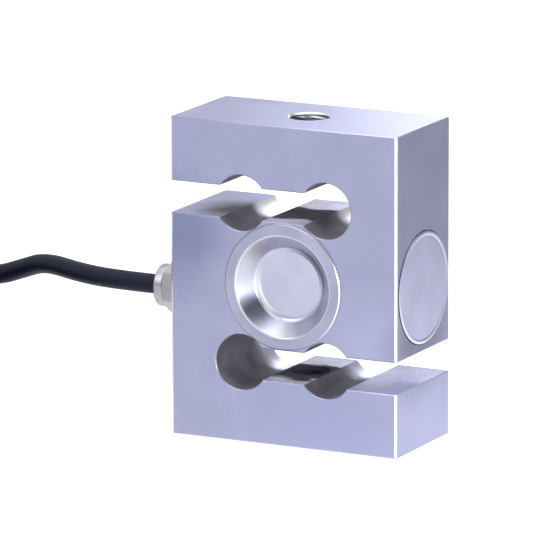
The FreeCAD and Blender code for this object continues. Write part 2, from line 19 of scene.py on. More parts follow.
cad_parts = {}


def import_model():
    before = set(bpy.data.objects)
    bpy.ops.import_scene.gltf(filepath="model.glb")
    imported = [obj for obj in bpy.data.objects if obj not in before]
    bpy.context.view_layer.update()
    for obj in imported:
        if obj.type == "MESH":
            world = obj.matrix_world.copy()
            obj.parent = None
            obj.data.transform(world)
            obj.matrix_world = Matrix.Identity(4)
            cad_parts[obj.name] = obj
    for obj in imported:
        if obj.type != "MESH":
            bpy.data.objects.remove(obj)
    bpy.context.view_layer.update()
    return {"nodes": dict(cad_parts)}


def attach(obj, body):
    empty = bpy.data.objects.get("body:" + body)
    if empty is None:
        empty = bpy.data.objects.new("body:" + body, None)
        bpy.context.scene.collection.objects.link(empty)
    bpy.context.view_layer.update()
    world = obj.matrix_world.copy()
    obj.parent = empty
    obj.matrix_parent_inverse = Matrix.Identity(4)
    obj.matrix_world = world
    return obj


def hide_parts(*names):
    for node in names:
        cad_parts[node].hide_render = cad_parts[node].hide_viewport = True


MM = 0.001
BODY_NAME = "root"
log = logging.getLogger("load_cell")

# In metres: how near points merge, and how short an edge goes.
MERGE_WITHIN, SLIVER = 2e-7, 1e-8
# An axis with this much of Z in it takes X as its helper.
STEEP = 0.9
# In degrees: past this an edge stays sharp.
SOFT_CREASE, TURNED_CREASE, STRAND_CREASE = 32.0, 40.0, 60.0
HEXAGON_CREASE, TIE_CREASE = 24.0, 30.0
# A cord's steps between two control points, and how finely its section is divided.
CORD_STEPS = 6
WHITE = (1.0, 1.0, 1.0, 1.0)

Group = bpy.types.NodeTree
Material = bpy.types.Material
Mesh = bpy.types.Mesh
PieceObject = bpy.types.Object
Socket = bpy.types.NodeSocket
Triple = tuple[float, float, float]


# Surfaces worked out on grids.


@dataclass
class Patch:
    """Part of a surface: its points, its faces as rows of point numbers, and each face's finish."""

    points: np.ndarray
    faces: np.ndarray
    finish: np.ndarray


def grid_faces(rows: int, columns: int, wrapped: bool) -> np.ndarray:
    """Four-sided faces between neighbours on a grid.

    Args:
        rows: Number of rows of points.
        columns: Number of points in each row.
        wrapped: Whether each row's last point joins its first.

    Returns:
        Rows of four point numbers.
    """
    number = np.arange(rows * columns).reshape(rows, columns)
    if wrapped:
        number = np.concatenate([number, number[:, :1]], axis=1)
    low, high = number[:-1], number[1:]
    corners = [low[:, :-1], low[:, 1:], high[:, 1:], high[:, :-1]]
    return np.stack(corners, axis=-1).reshape(-1, 4)


def frame_about(axis: np.ndarray) -> tuple[np.ndarray, np.ndarray]:
    """Two unit vectors square to an axis and to each other.

    Args:
        axis: Unit vectors, one in each row.

    Returns:
        The two sets of vectors, in the axis's shape.
    """
    helper = np.where(np.abs(axis[..., 2:3]) > STEEP, [1.0, 0.0, 0.0], [0.0, 0.0, 1.0])
    across = np.cross(helper, axis)
    across /= np.linalg.norm(across, axis=-1, keepdims=True)
    return across, np.cross(axis, across)


def frame_along(path: np.ndarray) -> tuple[np.ndarray, np.ndarray]:
    """Two unit vectors square to a path at each of its points."""
    tangent = np.gradient(path, axis=0)
    return frame_about(tangent / np.linalg.norm(tangent, axis=1, keepdims=True))


@dataclass(frozen=True)
class Corner:
    """Corner of a turned outline: radius, distance along the axis, rounding and finish numbers.

    The first finish is that of the rounding and the second that of the line after it. Without
    a second one the first goes on.
    """

    radius: float
    distance: float
    rounding: float = 0.0
    finish: int = 0
    onward: int | None = None


def rounded_outline(corners: list[Corner], steps: int = 7) -> tuple[np.ndarray, np.ndarray]:
    """Outline with rounded corners. Each arc swings about the centre that both sides touch.

    Args:
        corners: The outline's corners in order.
        steps: Points on each arc.

    Returns:
        The points as (radius, distance), and the finish of each step between them.
    """
    points, finish = [], []
    for number, corner in enumerate(corners):
        here = np.array([corner.radius, corner.distance])
        if corner.rounding == 0.0:
            arc = here[None, :]
        else:
            before = np.array([corners[number - 1].radius, corners[number - 1].distance]) - here
            after = np.array([corners[number + 1].radius, corners[number + 1].distance]) - here
            before, after = before / np.linalg.norm(before), after / np.linalg.norm(after)
            half = math.acos(float(before @ after)) / 2
            middle = (before + after) / np.linalg.norm(before + after)
            centre = here + middle * corner.rounding / math.sin(half)
            first = here + before * corner.rounding / math.tan(half) - centre
            last = here + after * corner.rounding / math.tan(half) - centre
            swing = math.pi - 2 * half
            t = np.linspace(0, 1, steps)[:, None]
            arc = centre + (first * np.sin((1 - t) * swing) + last * np.sin(t * swing)) / math.sin(swing)
        points.append(arc)
        onward = corner.finish if corner.onward is None else corner.onward
        finish += [corner.finish] * (len(arc) - 1) + [onward]
    return np.concatenate(points), np.array(finish[:-1])


def turned(corners: list[Corner], base: tuple, axis: tuple, segments: int = 160) -> Patch:
    """Surface turned about an axis: base + axis * distance + radius * (u cos t + v sin t).

    Args:
        corners: Outline of the turned form.
        base: Point of the axis at distance 0.
        axis: Unit vector along the axis.
        segments: Number of points round the axis.

    Returns:
        The turned surface. Its poles and seams close when it is welded.
    """
    outline, finish = rounded_outline(corners)
    across, upright = frame_about(np.array([axis], float))
    turn = np.linspace(0, 2 * math.pi, segments, endpoint=False)[None, :, None]
    around = across * np.cos(turn) + upright * np.sin(turn)
    centres = np.array(base, float) + outline[:, 1:, None] * np.array(axis, float)
    points = centres + outline[:, :1, None] * around
    faces = grid_faces(len(outline), segments, True)
    return Patch(points.reshape(-1, 3), faces, np.repeat(finish, segments))


def capped(rings: np.ndarray) -> Patch:
    """Closed surface over rings of points, with a fan over each end.

    Args:
        rings: The rings in order, (n, m, 3).

    Returns:
        The surface. A fan is a row of its ring's middle point, which welding merges.
    """
    ends = [np.repeat(rings[k].mean(0)[None], rings.shape[1], axis=0) for k in (0, -1)]
    points = np.concatenate([ends[:1], rings, ends[1:]])
    faces = grid_faces(*points.shape[:2], True)
    return Patch(points.reshape(-1, 3), faces, np.zeros(len(faces), int))


def round_tube(path: np.ndarray, radius: float, count: int = 8) -> Patch:
    """Tube along a path: each path point + radius * (across * cos t + upright * sin t).

    Args:
        path: Points of the centre line, (n, 3).
        radius: The tube's radius.
        count: Number of points round it.

    Returns:
        The tube's surface with closed ends.
    """
    across, upright = frame_along(path)
    turn = np.linspace(0, 2 * math.pi, count, endpoint=False)[:, None]
    around = across[:, None] * np.cos(turn) + upright[:, None] * np.sin(turn)
    return capped(path[:, None] + radius * around)


def smoothstep(x: np.ndarray) -> np.ndarray:
    """Smooth rise from 0 to 1 over 0 to 1: 3x^2 - 2x^3, level outside."""
    x = np.clip(x, 0.0, 1.0)
    return x * x * (3 - 2 * x)


def linked(name: str, data: bpy.types.ID) -> PieceObject:
    """New object of the scene.

    Args:
        name: The object's name.
        data: Its mesh, lamp or camera.

    Returns:
        The object.
    """
    made = bpy.data.objects.new(name, data)
    bpy.context.collection.objects.link(made)
    return made


def vectors(rows: bpy.types.bpy_prop_collection, what: str) -> np.ndarray:
    """Vector of every row of a mesh's data, such as each point's place.

    Args:
        rows: The mesh's points or faces.
        what: Name of the vector.

    Returns:
        One row of three numbers for each.
    """
    values = np.zeros(len(rows) * 3)
    rows.foreach_get(what, values)
    return values.reshape(-1, 3)


def place(piece: PieceObject, slot: str, *nodes: str) -> PieceObject:
    """Fixes a piece to the cell and hides the nodes that it stands for.

    Args:
        piece: The object.
        slot: Name of the record's material slot. It is not used.
        nodes: Names of the nodes that it replaces.

    Returns:
        The same object.
    """
    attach(piece, BODY_NAME)
    if nodes:
        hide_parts(*nodes)
    log.info("made %s", piece.name)
    return piece


# Effects that several finishes share.


class Graph:
    """Short way to add linked nodes to a tree."""

    def __init__(self, tree: bpy.types.NodeTree) -> None:
        """Keeps the tree to add to."""
        self.tree = tree

    @staticmethod
    def of(owner: Material | bpy.types.World) -> Graph:
        """Graph of a material's or world's own nodes, emptied.

        Args:
            owner: The material or world.

        Returns:
            The graph.
        """
        owner.use_nodes = True
        owner.node_tree.nodes.clear()
        return Graph(owner.node_tree)

    def node(self, kind: str, values: dict | None = None, **settings: object) -> bpy.types.Node:
        """Adds one node.

        Args:
            kind: The node's type.
            values: Input name or number to a value or to the socket that feeds it.
            settings: Properties of the node.

        Returns:
            The node.
        """
        made = self.tree.nodes.new(kind)
        for name, value in settings.items():
            setattr(made, name, value)
        for name, value in (values or {}).items():
            if isinstance(value, Socket):
                self.tree.links.new(value, made.inputs[name])
            else:
                made.inputs[name].default_value = value
        return made

    def math(self, operation: str, *values: float | Socket) -> Socket:
        """Result of one step of arithmetic on numbers or sockets."""
        return self.node("ShaderNodeMath", dict(enumerate(values)), operation=operation).outputs[0]

    def vector(self, operation: str, *values: object, output: int = 0) -> Socket:
        """Result of one step of vector arithmetic."""
        made = self.node("ShaderNodeVectorMath", dict(enumerate(values)), operation=operation)
        return made.outputs[output]

    def remap(self, value: Socket, low: float | Socket, high: float | Socket,
              start: float | Socket = 0.0, end: float | Socket = 1.0) -> Socket:
        """Value moved smoothly from start to end as it runs from low to high."""
        values = {0: value, 1: low, 2: high, 3: start, 4: end}
        return self.node("ShaderNodeMapRange", values, interpolation_type="SMOOTHSTEP").outputs[0]

    def blend(self, share: Socket, first: tuple | Socket, second: tuple | Socket) -> Socket:
        """Colour between two colours."""
        return self.node("ShaderNodeMix", {0: share, 6: first, 7: second}, data_type="RGBA").outputs[2]

    def fade(self, share: Socket, first: float | Socket, second: float | Socket) -> Socket:
        """Number between two numbers."""
        return self.node("ShaderNodeMix", {0: share, 2: first, 3: second}).outputs[0]

    def noise(self, spot: Socket, scale: float, detail: float, roughness: float = 0.5) -> Socket:
        """Noise at a spot, from 0 to 1."""
        values = {"Vector": spot, "Scale": scale, "Detail": detail, "Roughness": roughness}
        return self.node("ShaderNodeTexNoise", values).outputs[0]

    def place_on(self) -> Socket:
        """Object coordinates."""
        return self.node("ShaderNodeTexCoord").outputs["Object"]

    def scaled(self, size: Socket, stretch: tuple | Socket = (1.0, 1.0, 1.0)) -> Socket:
        """Object coordinates in multiples of a size, stretched along each axis."""
        return self.vector("MULTIPLY", self.vector("DIVIDE", self.place_on(), size), stretch)


class Effect(Enum):
    """Shared effects, each a node group by this name."""

    GRAIN = "fine_grain"
    CLOUD = "soft_cloud"
    RINGS = "turned_rings"
    STREAKS = "cutter_streaks"
    EDGES = "block_edges"
    BAND = "painted_light_band"
    PATCH = "wide_patch"


class Effects:
    """The shared node groups, each built once."""

    def __init__(self) -> None:
        """Builds every group."""
        self.groups: dict[Effect, Group] = {}
        for build in (self.fine_grain, self.soft_cloud, self.turned_rings, self.cutter_streaks,
                      self.block_edges, self.painted_light_band, self.wide_patch):
            build()

    @staticmethod
    def start(effect: Effect, **inputs: float | tuple) -> tuple[Graph, dict[str, Socket]]:
        """Makes a group with named inputs.

        Args:
            effect: The group's name.
            inputs: Input names, in lower case, with default numbers or vectors.

        Returns:
            The graph and its inputs by name.
        """
        group = bpy.data.node_groups.new(effect.value, "ShaderNodeTree")
        for name, value in inputs.items():
            kind = "NodeSocketVector" if isinstance(value, tuple) else "NodeSocketFloat"
            made = group.interface.new_socket(name=name.capitalize(), in_out="INPUT", socket_type=kind)
            made.default_value = value
        graph = Graph(group)
        given = graph.node("NodeGroupInput").outputs
        return graph, {name: given[name.capitalize()] for name in inputs}

    def end(self, graph: Graph, **outputs: Socket) -> None:
        """Gives a group its named outputs and keeps it.

        Args:
            graph: The group's graph.
            outputs: Output names, in lower case, with the numbers that they put out.
        """
        for name in outputs:
            graph.tree.interface.new_socket(name=name.capitalize(), in_out="OUTPUT",
                                            socket_type="NodeSocketFloat")
        graph.node("NodeGroupOutput", {name.capitalize(): value for name, value in outputs.items()})
        self.groups[Effect(graph.tree.name)] = graph.tree

    def fine_grain(self) -> None:
        """Blasted or moulded grain: two noises, one three times as coarse as the other."""
        graph, given = self.start(Effect.GRAIN, size=0.0003, contrast=1.0)
        spot = graph.scaled(given["size"])
        height = graph.math("MULTIPLY", graph.noise(spot, 1.0, 2.0), 0.6)
        height = graph.math("MULTIPLY_ADD", graph.noise(spot, 0.31, 1.0), 0.4, height)
        tone = graph.math("SUBTRACT", height, 0.5)
        tone = graph.math("MULTIPLY_ADD", tone, given["contrast"], 0.5)
        self.end(graph, height=height, tone=tone)

    def soft_cloud(self) -> None:
        """Wide soft mottling, as from handling and uneven blasting: one soft noise."""
        graph, given = self.start(Effect.CLOUD, size=0.01, stretch=(1.0, 1.0, 1.0))
        noise = graph.noise(graph.scaled(given["size"], given["stretch"]), 1.0, 3.0, 0.45)
        self.end(graph, tone=graph.remap(noise, 0.3, 0.7))

    def turned_rings(self) -> None:
        """Tool rings about an axis: a wave on the distance from the axis, broken by noise."""
        graph, given = self.start(Effect.RINGS, centre=(0.0, 0.0, 0.04), axis=(0.0, 1.0, 0.0),
                                  pitch=0.0002)
        apart = graph.vector("SUBTRACT", graph.place_on(), given["centre"])
        radius = graph.vector("LENGTH", graph.vector("CROSS_PRODUCT", apart, given["axis"]), output=1)
        turns = graph.math("DIVIDE", radius, given["pitch"])
        wave = graph.math("SINE", graph.math("MULTIPLY", turns, 2 * math.pi))
        spread = graph.node("ShaderNodeTexNoise", {"W": turns, "Scale": 0.23, "Detail": 2.0},
                            noise_dimensions="1D").outputs[0]
        self.end(graph, height=graph.math("MULTIPLY_ADD", wave, 0.25, spread), tone=spread)

    def cutter_streaks(self) -> None:
        """Marks of a cutter: noise drawn out along an axis by a stretch of under 1."""
        graph, given = self.start(Effect.STREAKS, size=0.0006, stretch=(1.0, 0.04, 1.0))
        noise = graph.noise(graph.scaled(given["size"], given["stretch"]), 1.0, 3.0)
        self.end(graph, height=noise, tone=graph.remap(noise, 0.35, 0.65))

    def block_edges(self) -> None:
        """Nearness to a block's outer edges: the two smallest distances to its sides, added up."""
        graph, given = self.start(Effect.EDGES, centre=(0.0, 0.0, 0.04), half=(0.031, 0.015, 0.04),
                                  width=0.001)
        apart = graph.vector("ABSOLUTE", graph.vector("SUBTRACT", graph.place_on(), given["centre"]))
        inside = graph.vector("SUBTRACT", given["half"], apart)
        x, y, z = graph.node("ShaderNodeSeparateXYZ", {0: inside}).outputs
        total = graph.math("ADD", graph.math("ADD", x, y), z)
        largest = graph.math("MAXIMUM", graph.math("MAXIMUM", x, y), z)
        nearest = graph.math("SUBTRACT", total, largest)
        self.end(graph, mask=graph.remap(nearest, 0.0, given["width"], 1.0, 0.0))

    def painted_light_band(self) -> None:
        """Band round one distance along Y, with an edge that wavers across X and Z. It is the mask of the
        painted highlight and shade bands.
        """
        graph, given = self.start(Effect.BAND, centre=0.0, reach=0.008, soft=0.004, waver=0.003,
                                  grain=0.012)
        noise = graph.noise(graph.scaled(given["grain"], (1.0, 1.6, 1.0)), 1.0, 4.0)
        shift = graph.math("SUBTRACT", noise, 0.5)
        along = graph.node("ShaderNodeSeparateXYZ", {0: graph.place_on()}).outputs[1]
        along = graph.math("MULTIPLY_ADD", shift, given["waver"], along)
        apart = graph.math("ABSOLUTE", graph.math("SUBTRACT", along, given["centre"]))
        inner = graph.math("SUBTRACT", given["reach"], given["soft"])
        self.end(graph, mask=graph.remap(apart, inner, given["reach"], 1.0, 0.0))

    def wide_patch(self) -> None:
        """Soft round patch about a point, with an uneven border. It is the mask of the patches of painted
        highlight and shade.
        """
        graph, given = self.start(Effect.PATCH, centre=(0.0, 0.0, 0.0), reach=0.02)
        spot = graph.place_on()
        apart = graph.vector("LENGTH", graph.vector("SUBTRACT", spot, given["centre"]), output=1)
        share = graph.math("DIVIDE", apart, given["reach"])
        shift = graph.math("SUBTRACT", graph.noise(spot, 90.0, 4.0), 0.5)
        uneven = graph.math("MULTIPLY_ADD", shift, 0.5, share)
        self.end(graph, mask=graph.remap(uneven, 0.1, 1.0, 1.0, 0.0))

    def use(self, graph: Graph, effect: Effect, **values: float | tuple) -> dict[str, Socket]:
        """Places a group in a material's graph.

        Args:
            graph: The material's graph.
            effect: Which group.
            values: Its inputs by name, in lower case.

        Returns:
            Its outputs by name.
        """
        placed = graph.node("ShaderNodeGroup", node_tree=self.groups[effect])
        for name, value in values.items():
            placed.inputs[name.capitalize()].default_value = value
        return {output.name: output for output in placed.outputs}


@dataclass(frozen=True)
class Rings:
    """Where a finish has tool rings: a point and direction of the axis, in metres."""

    centre: Triple
    axis: Triple
    pitch: float
    depth: float


@dataclass(frozen=True)
class Streaks:
    """Marks of a cutter on a finish."""

    size: float
    stretch: Triple
    depth: float
    tone: float


@dataclass(frozen=True)
class Mark:
    """Part of a finish painted in a colour of its own, and a metal value where that differs. Marks paint
    highlights and shade into a finish.
    """

    colour: Triple
    metal: float | None = field(default=None, kw_only=True)

    def mask(self, graph: Graph, effects: Effects) -> Socket:
        """Share of the mark at each point, given by each kind of mark."""
        raise NotImplementedError


@dataclass(frozen=True)
class LightPatch(Mark):
    """Wide soft patch of painted highlight or painted shade about a point, in metres."""

    centre: Triple = (0.0, 0.0, 0.0)
    reach: float = 0.01

    def mask(self, graph: Graph, effects: Effects) -> Socket:
        """Share of the patch at each point."""
        return effects.use(graph, Effect.PATCH, centre=self.centre, reach=self.reach)["Mask"]


@dataclass(frozen=True)
class Band(Mark):
    """Band of painted highlight or painted shade across a finish at one distance along Y, in metres."""

    centre: float = 0.0
    reach: float = 0.008
    soft: float = 0.003
    waver: float = 0.006
    grain: float = 0.01

    def mask(self, graph: Graph, effects: Effects) -> Socket:
        """Share of the band at each point."""
        return effects.use(graph, Effect.BAND, centre=self.centre, reach=self.reach, soft=self.soft,
                           waver=self.waver, grain=self.grain)["Mask"]


@dataclass(frozen=True)
class Finish:
    """One surface finish of the cell.

    The colour, roughness and metal value are the surface's own, except where a dark colour without
    metal is painted shade, and the marks paint highlights and shade. Grain and cloud sizes are in
    metres, depths are of bump in metres, and the shares say how far each effect moves the
    colour or the roughness. The index sets the gloss of what isn't metal.
    """

    name: str
    colour: Triple
    metal: float = 1.0
    roughness: float = 0.4
    grain_size: float = 0.0003
    grain_depth: float = 0.0
    grain_tone: float = 0.0
    cloud_size: float = 0.012
    cloud_stretch: Triple = (1.0, 1.0, 1.0)
    cloud_tone: float = 0.06
    cloud_roughness: float = 0.06
    edge_colour: Triple | None = None
    edge_width: float = 0.001
    rings: Rings | None = None
    streaks: Streaks | None = None
    marks: tuple[Mark, ...] = ()
    index: float = 1.5

    # Contrast of the grain's tone, how dark its hollows and a cutter's marks are as shares of
    # the colour, how much tool rings roughen, and the grain's tones between which the lighter edges set
    # in: edge wear, and painted edge highlight.
    CONTRAST, HOLLOW, CUT, RING_ROUGHNESS = 1.6, 0.35, 0.4, 0.1
    WORN_FROM, WORN_TO = 0.2, 0.7

    def material(self, effects: Effects) -> Material:
        """Builds the material.

        Args:
            effects: The shared groups.

        Returns:
            The material, with its colour, roughness and normal worked out on the object.
        """
        made = bpy.data.materials.new(self.name)
        graph = Graph.of(made)
        grain = effects.use(graph, Effect.GRAIN, size=self.grain_size, contrast=self.CONTRAST)
        cloud = effects.use(graph, Effect.CLOUD, size=self.cloud_size, stretch=self.cloud_stretch)
        tone = self.tone(graph, cloud["Tone"])
        if self.grain_tone:
            tone = self.darker(graph, tone, grain["Tone"], self.grain_tone, self.HOLLOW)
        rough = graph.math("MULTIPLY_ADD", cloud["Tone"], self.cloud_roughness,
                           self.roughness - self.cloud_roughness / 2)
        height = graph.math("MULTIPLY", grain["Height"], self.grain_depth)
        if self.rings:
            rings = effects.use(graph, Effect.RINGS, centre=self.rings.centre, axis=self.rings.axis,
                                pitch=self.rings.pitch)
            height = graph.math("MULTIPLY_ADD", rings["Height"], self.rings.depth, height)
            rough = graph.math("MULTIPLY_ADD", rings["Tone"], self.RING_ROUGHNESS, rough)
        if self.streaks:
            cuts = effects.use(graph, Effect.STREAKS, size=self.streaks.size, stretch=self.streaks.stretch)
            height = graph.math("MULTIPLY_ADD", cuts["Height"], self.streaks.depth, height)
            tone = self.darker(graph, tone, cuts["Tone"], self.streaks.tone, self.CUT)
        metal = self.metal
        # Each mark paints a highlight or shade over the tone, and may set its own metal value.
        for mark in self.marks:
            mask = mark.mask(graph, effects)
            tone = graph.blend(mask, tone, (*mark.colour, 1.0))
            if mark.metal is not None:
                metal = graph.fade(mask, metal, mark.metal)
        # Lighter along the block's edges: edge wear, and a painted highlight of the light that the edges
        # catch.
        if self.edge_colour:
            edges = effects.use(graph, Effect.EDGES, width=self.edge_width)
            edge_grain = graph.remap(grain["Tone"], self.WORN_FROM, self.WORN_TO)
            wear_and_highlight = graph.math("MULTIPLY", edges["Mask"], edge_grain)
            tone = graph.blend(wear_and_highlight, tone, (*self.edge_colour, 1.0))
        bump = graph.node("ShaderNodeBump", {"Height": height, "Strength": 1.0, "Distance": 1.0})
        shader = graph.node("ShaderNodeBsdfPrincipled", {
            "Base Color": tone, "Roughness": rough, "Metallic": metal, "Normal": bump.outputs[0],
            "IOR": self.index,
        })
        graph.node("ShaderNodeOutputMaterial", {"Surface": shader.outputs[0]})
        return made

    def tone(self, graph: Graph, share: Socket) -> Socket:
        """Colour that runs from a little darker to a little lighter than the finish's own."""
        dark, light = [tuple(c * (1 + sign * self.cloud_tone) for c in self.colour) for sign in (-1, 1)]
        return graph.blend(share, (*dark, 1.0), (*light, 1.0))

    def darker(self, graph: Graph, tone: Socket, mask: Socket, share: float, level: float) -> Socket:
        """Tone that goes by a share, where the mask is, to the finish's colour at a lower level."""
        dark = (*[c * level for c in self.colour], 1.0)
        return graph.blend(graph.math("MULTIPLY", mask, share), tone, dark)


FRONT_CENTRE, SIDE_CENTRE = (0.0, 0.0, 0.04), (0.031, 0.0, 0.04)
ALONG_X, ALONG_Y = (1.0, 0.0, 0.0), (0.0, 1.0, 0.0)


class Finishes:
    """Every material of the cell, by its finish's name."""

    # Painted shade and highlight: the lobes' dark colour without metal stands in for their dim reflection,
    # and the white metal band over their back half is a painted highlight.
    LOBE = Finish("bored_lobe", (0.265, 0.258, 0.305), 0.0, 0.5, 0.0003, 0.000004, 0.1, 0.008,
                  cloud_tone=0.25, cloud_roughness=0.08, index=1.15,
                  marks=(Band((0.96, 0.96, 0.99), 0.0165, 0.0160, 0.0060, 0.006, 0.008, metal=1.0),))
    FIXED = (
        # Painted shade and light: the front darker at the upper left, lighter at the lower right and a
        # little darker at the bottom, and the right side darker low down and towards the front.
        Finish("blasted_steel", (0.45, 0.465, 0.685), 0.9, 0.42, 0.0005, 0.00002, 0.2, 0.016,
               cloud_tone=0.05, edge_colour=(0.50, 0.52, 0.72), edge_width=0.0004,
               marks=(LightPatch((0.26, 0.285, 0.46), (-0.031, -0.016, 0.051), 0.022),
                      LightPatch((0.48, 0.49, 0.73), (0.025, -0.016, 0.026), 0.02),
                      LightPatch((0.40, 0.42, 0.66), (0.012, -0.016, 0.0), 0.03),
                      LightPatch((0.29, 0.30, 0.43), (0.0315, 0.004, 0.0262), 0.0145),
                      LightPatch((0.13, 0.14, 0.21), (0.0430, -0.007, 0.0262), 0.0210))),
        # Painted highlight: the eased edges white about the lower middle of the right side.
        Finish("eased_edge", (0.42, 0.43, 0.60), 1.0, 0.34, 0.0003, 0.00001, 0.1,
               marks=(LightPatch((0.90, 0.91, 1.0), (0.031, 0.0, 0.024), 0.022),)),
        # Painted highlight: a thin white line at the front of the corner chamfers.
        Finish("bright_corner", (0.40, 0.41, 0.60), 1.0, 0.3, 0.0004, 0.000004, 0.05,
               marks=(Band((1.0, 1.0, 0.98), -0.01495, 0.00046, 0.0002, 0.0, 0.01),)),
        Finish("thread_mouth", (0.92, 0.93, 0.97), 1.0, 0.3, 0.0004, 0.000008, 0.05),
        # Painted shade: dark bands without metal across the middle of the slots' floors.
        Finish("machined_slot", (0.52, 0.53, 0.72), 1.0, 0.3, 0.0003, 0.000001, 0.05, 0.007,
               cloud_stretch=(0.6, 1.3, 1.0), cloud_tone=0.15, cloud_roughness=0.1, index=1.04,
               streaks=Streaks(0.0022, (1.0, 0.12, 1.0), 0.0000015, 0.15),
               marks=(Band((0.095, 0.092, 0.112), -0.002, 0.0086, 0.003, 0.016, 0.010, metal=0.0),
                      Band((0.062, 0.062, 0.090), -0.001, 0.0050, 0.003, 0.014, 0.005, metal=0.0))),
        # Painted shade: a dark patch without metal on the upper slot's floor at the left.
        Finish("machined_ledge", (0.43, 0.44, 0.70), 1.0, 0.3, 0.0003, 0.000001, 0.05, 0.009,
               cloud_tone=0.1, cloud_roughness=0.1, index=1.04,
               streaks=Streaks(0.0022, (1.0, 0.12, 1.0), 0.0000015, 0.05),
               marks=(LightPatch((0.335, 0.30, 0.315), (-0.018, -0.0055, 0.056), 0.0135, metal=0.0),)),
        LOBE,
        # Painted highlight: the lower lobes' band toward the back is greyer.
        replace(LOBE, name="lower_lobe",
                marks=(Band((0.66, 0.66, 0.80), 0.0165, 0.0115, 0.006, 0.006, 0.008, metal=1.0),)),
        # Painted shade: a dark colour without metal in the threaded bores.
        Finish("tapped_bore", (0.16, 0.16, 0.20), 0.0, 0.35, 0.0003, 0.00001, 0.2, index=1.1),
        Finish("cut_thread", (0.55, 0.55, 0.60), 1.0, 0.28, 0.0003, 0.00001, 0.2),
        Finish("cup_flange", (0.45, 0.46, 0.62), 0.95, 0.34, 0.0002, 0.000008, 0.06, 0.01,
               cloud_tone=0.12, rings=Rings(FRONT_CENTRE, ALONG_Y, 0.00018, 0.000004)),
        # Painted highlight on the rim's right side.
        Finish("cup_rim", (0.40, 0.41, 0.58), 1.0, 0.3, 0.0003, 0.000006, 0.05, 0.006,
               marks=(LightPatch((0.92, 0.92, 0.97), (0.0150, -0.0155, 0.041), 0.021),)),
        # Painted reflections: dark patches at the lower left and upper right, and a greyer one at the
        # upper left.
        Finish("cup_wall", (0.58, 0.59, 0.69), 1.0, 0.29, 0.0003, 0.000001, 0.05, 0.004,
               cloud_tone=0.08, cloud_roughness=0.1,
               rings=Rings(FRONT_CENTRE, ALONG_Y, 0.00012, 0.0000015),
               marks=(LightPatch((0.20, 0.22, 0.30), (-0.0088, -0.0125, 0.0332), 0.0078),
                      LightPatch((0.44, 0.42, 0.47), (-0.0070, -0.0125, 0.0490), 0.0050),
                      LightPatch((0.30, 0.30, 0.37), (0.0090, -0.0125, 0.0455), 0.0090))),
        # Painted highlight at the lower left and painted shade at the upper right.
        Finish("cup_fillet", (0.57, 0.58, 0.74), 1.0, 0.24, 0.0003, 0.000003, 0.05, 0.003,
               cloud_roughness=0.1, rings=Rings(FRONT_CENTRE, ALONG_Y, 0.00012, 0.0000015),
               marks=(LightPatch((0.93, 0.94, 1.0), (-0.0078, -0.0115, 0.0362), 0.0082),
                      LightPatch((0.20, 0.20, 0.25), (0.0066, -0.0115, 0.0462), 0.0100))),
        # Painted highlight on the lip at the lower left.
        Finish("cup_lip", (0.62, 0.63, 0.80), 1.0, 0.3, 0.0003, 0.000003, 0.05, 0.006,
               marks=(LightPatch((0.90, 0.91, 1.0), (-0.0115, -0.0155, 0.0345), 0.0150),)),
        Finish("cup_floor", (0.58, 0.59, 0.77), 0.95, 0.28, 0.0002, 0.000006, 0.06, 0.008,
               cloud_tone=0.07, rings=Rings(FRONT_CENTRE, ALONG_Y, 0.0002, 0.000005)),
        # The seam's dark colour is its own; the lighter patch on its left side is painted light.
        Finish("bonded_seam", (0.20, 0.205, 0.28), 0.8, 0.5, 0.0004, 0.00001, 0.2, 0.005,
               marks=(LightPatch((0.44, 0.455, 0.65), (-0.0160, -0.0155, 0.0400), 0.0200),)),
        Finish("side_disc", (0.63, 0.64, 0.88), 0.95, 0.40, 0.0002, 0.000012, 0.08, 0.012,
               rings=Rings(SIDE_CENTRE, ALONG_X, 0.00022, 0.000004)),
        Finish("disc_bead", (0.72, 0.73, 0.92), 1.0, 0.34, 0.0003, 0.00001, 0.08, 0.006),
        Finish("gland_nickel", (0.46, 0.438, 0.495), 1.0, 0.27, 0.0003, 0.000006, 0.08, 0.003,
               rings=Rings((-0.031, 0.0, 0.0337), ALONG_X, 0.00015, 0.000004)),
        Finish("cable_jacket", (0.005, 0.008, 0.031), 0.0, 0.52, 0.0004, 0.00002, 0.0, 0.02,
               cloud_tone=0.15, cloud_roughness=0.12, index=1.34),
        Finish("shrink_sleeve", (0.012, 0.012, 0.013), 0.0, 0.55, 0.0006, 0.00004, 0.0, 0.01,
               cloud_tone=0.2, cloud_roughness=0.15),
        Finish("tie_plastic", (0.016, 0.016, 0.017), 0.0, 0.38, 0.0005, 0.00002, 0.0, 0.01,
               cloud_tone=0.2, cloud_roughness=0.1),
        Finish("seal_rubber", (0.014, 0.014, 0.015), 0.0, 0.7, 0.0003, 0.00002, 0.0, 0.004),
        Finish("washer_plastic", (0.70, 0.69, 0.64), 0.0, 0.4, 0.0005, 0.00001, 0.0, 0.004),
        Finish("tinned_copper", (0.66, 0.62, 0.57), 1.0, 0.34, 0.0002, 0.00001, 0.2, 0.002,
               cloud_tone=0.12),
        Finish("gauge_film", (0.55, 0.30, 0.07), 0.0, 0.3, 0.0004, 0.00001, 0.1, 0.003),
        Finish("terminal_copper", (0.75, 0.40, 0.22), 1.0, 0.35, 0.0003, 0.00002, 0.2, 0.002),
        Finish("lead_enamel", (0.45, 0.14, 0.05), 0.6, 0.25, 0.0004, 0.00001, 0.0, 0.003),
        Finish("board_laminate", (0.03, 0.16, 0.06), 0.0, 0.35, 0.0006, 0.00001, 0.1, 0.004),
        Finish("pad_foam", (0.05, 0.05, 0.05), 0.0, 0.85, 0.0005, 0.0001, 0.3, 0.004),
        Finish("resistor_ceramic", (0.42, 0.38, 0.26), 0.0, 0.45, 0.0003, 0.00001, 0.1, 0.003),
    )
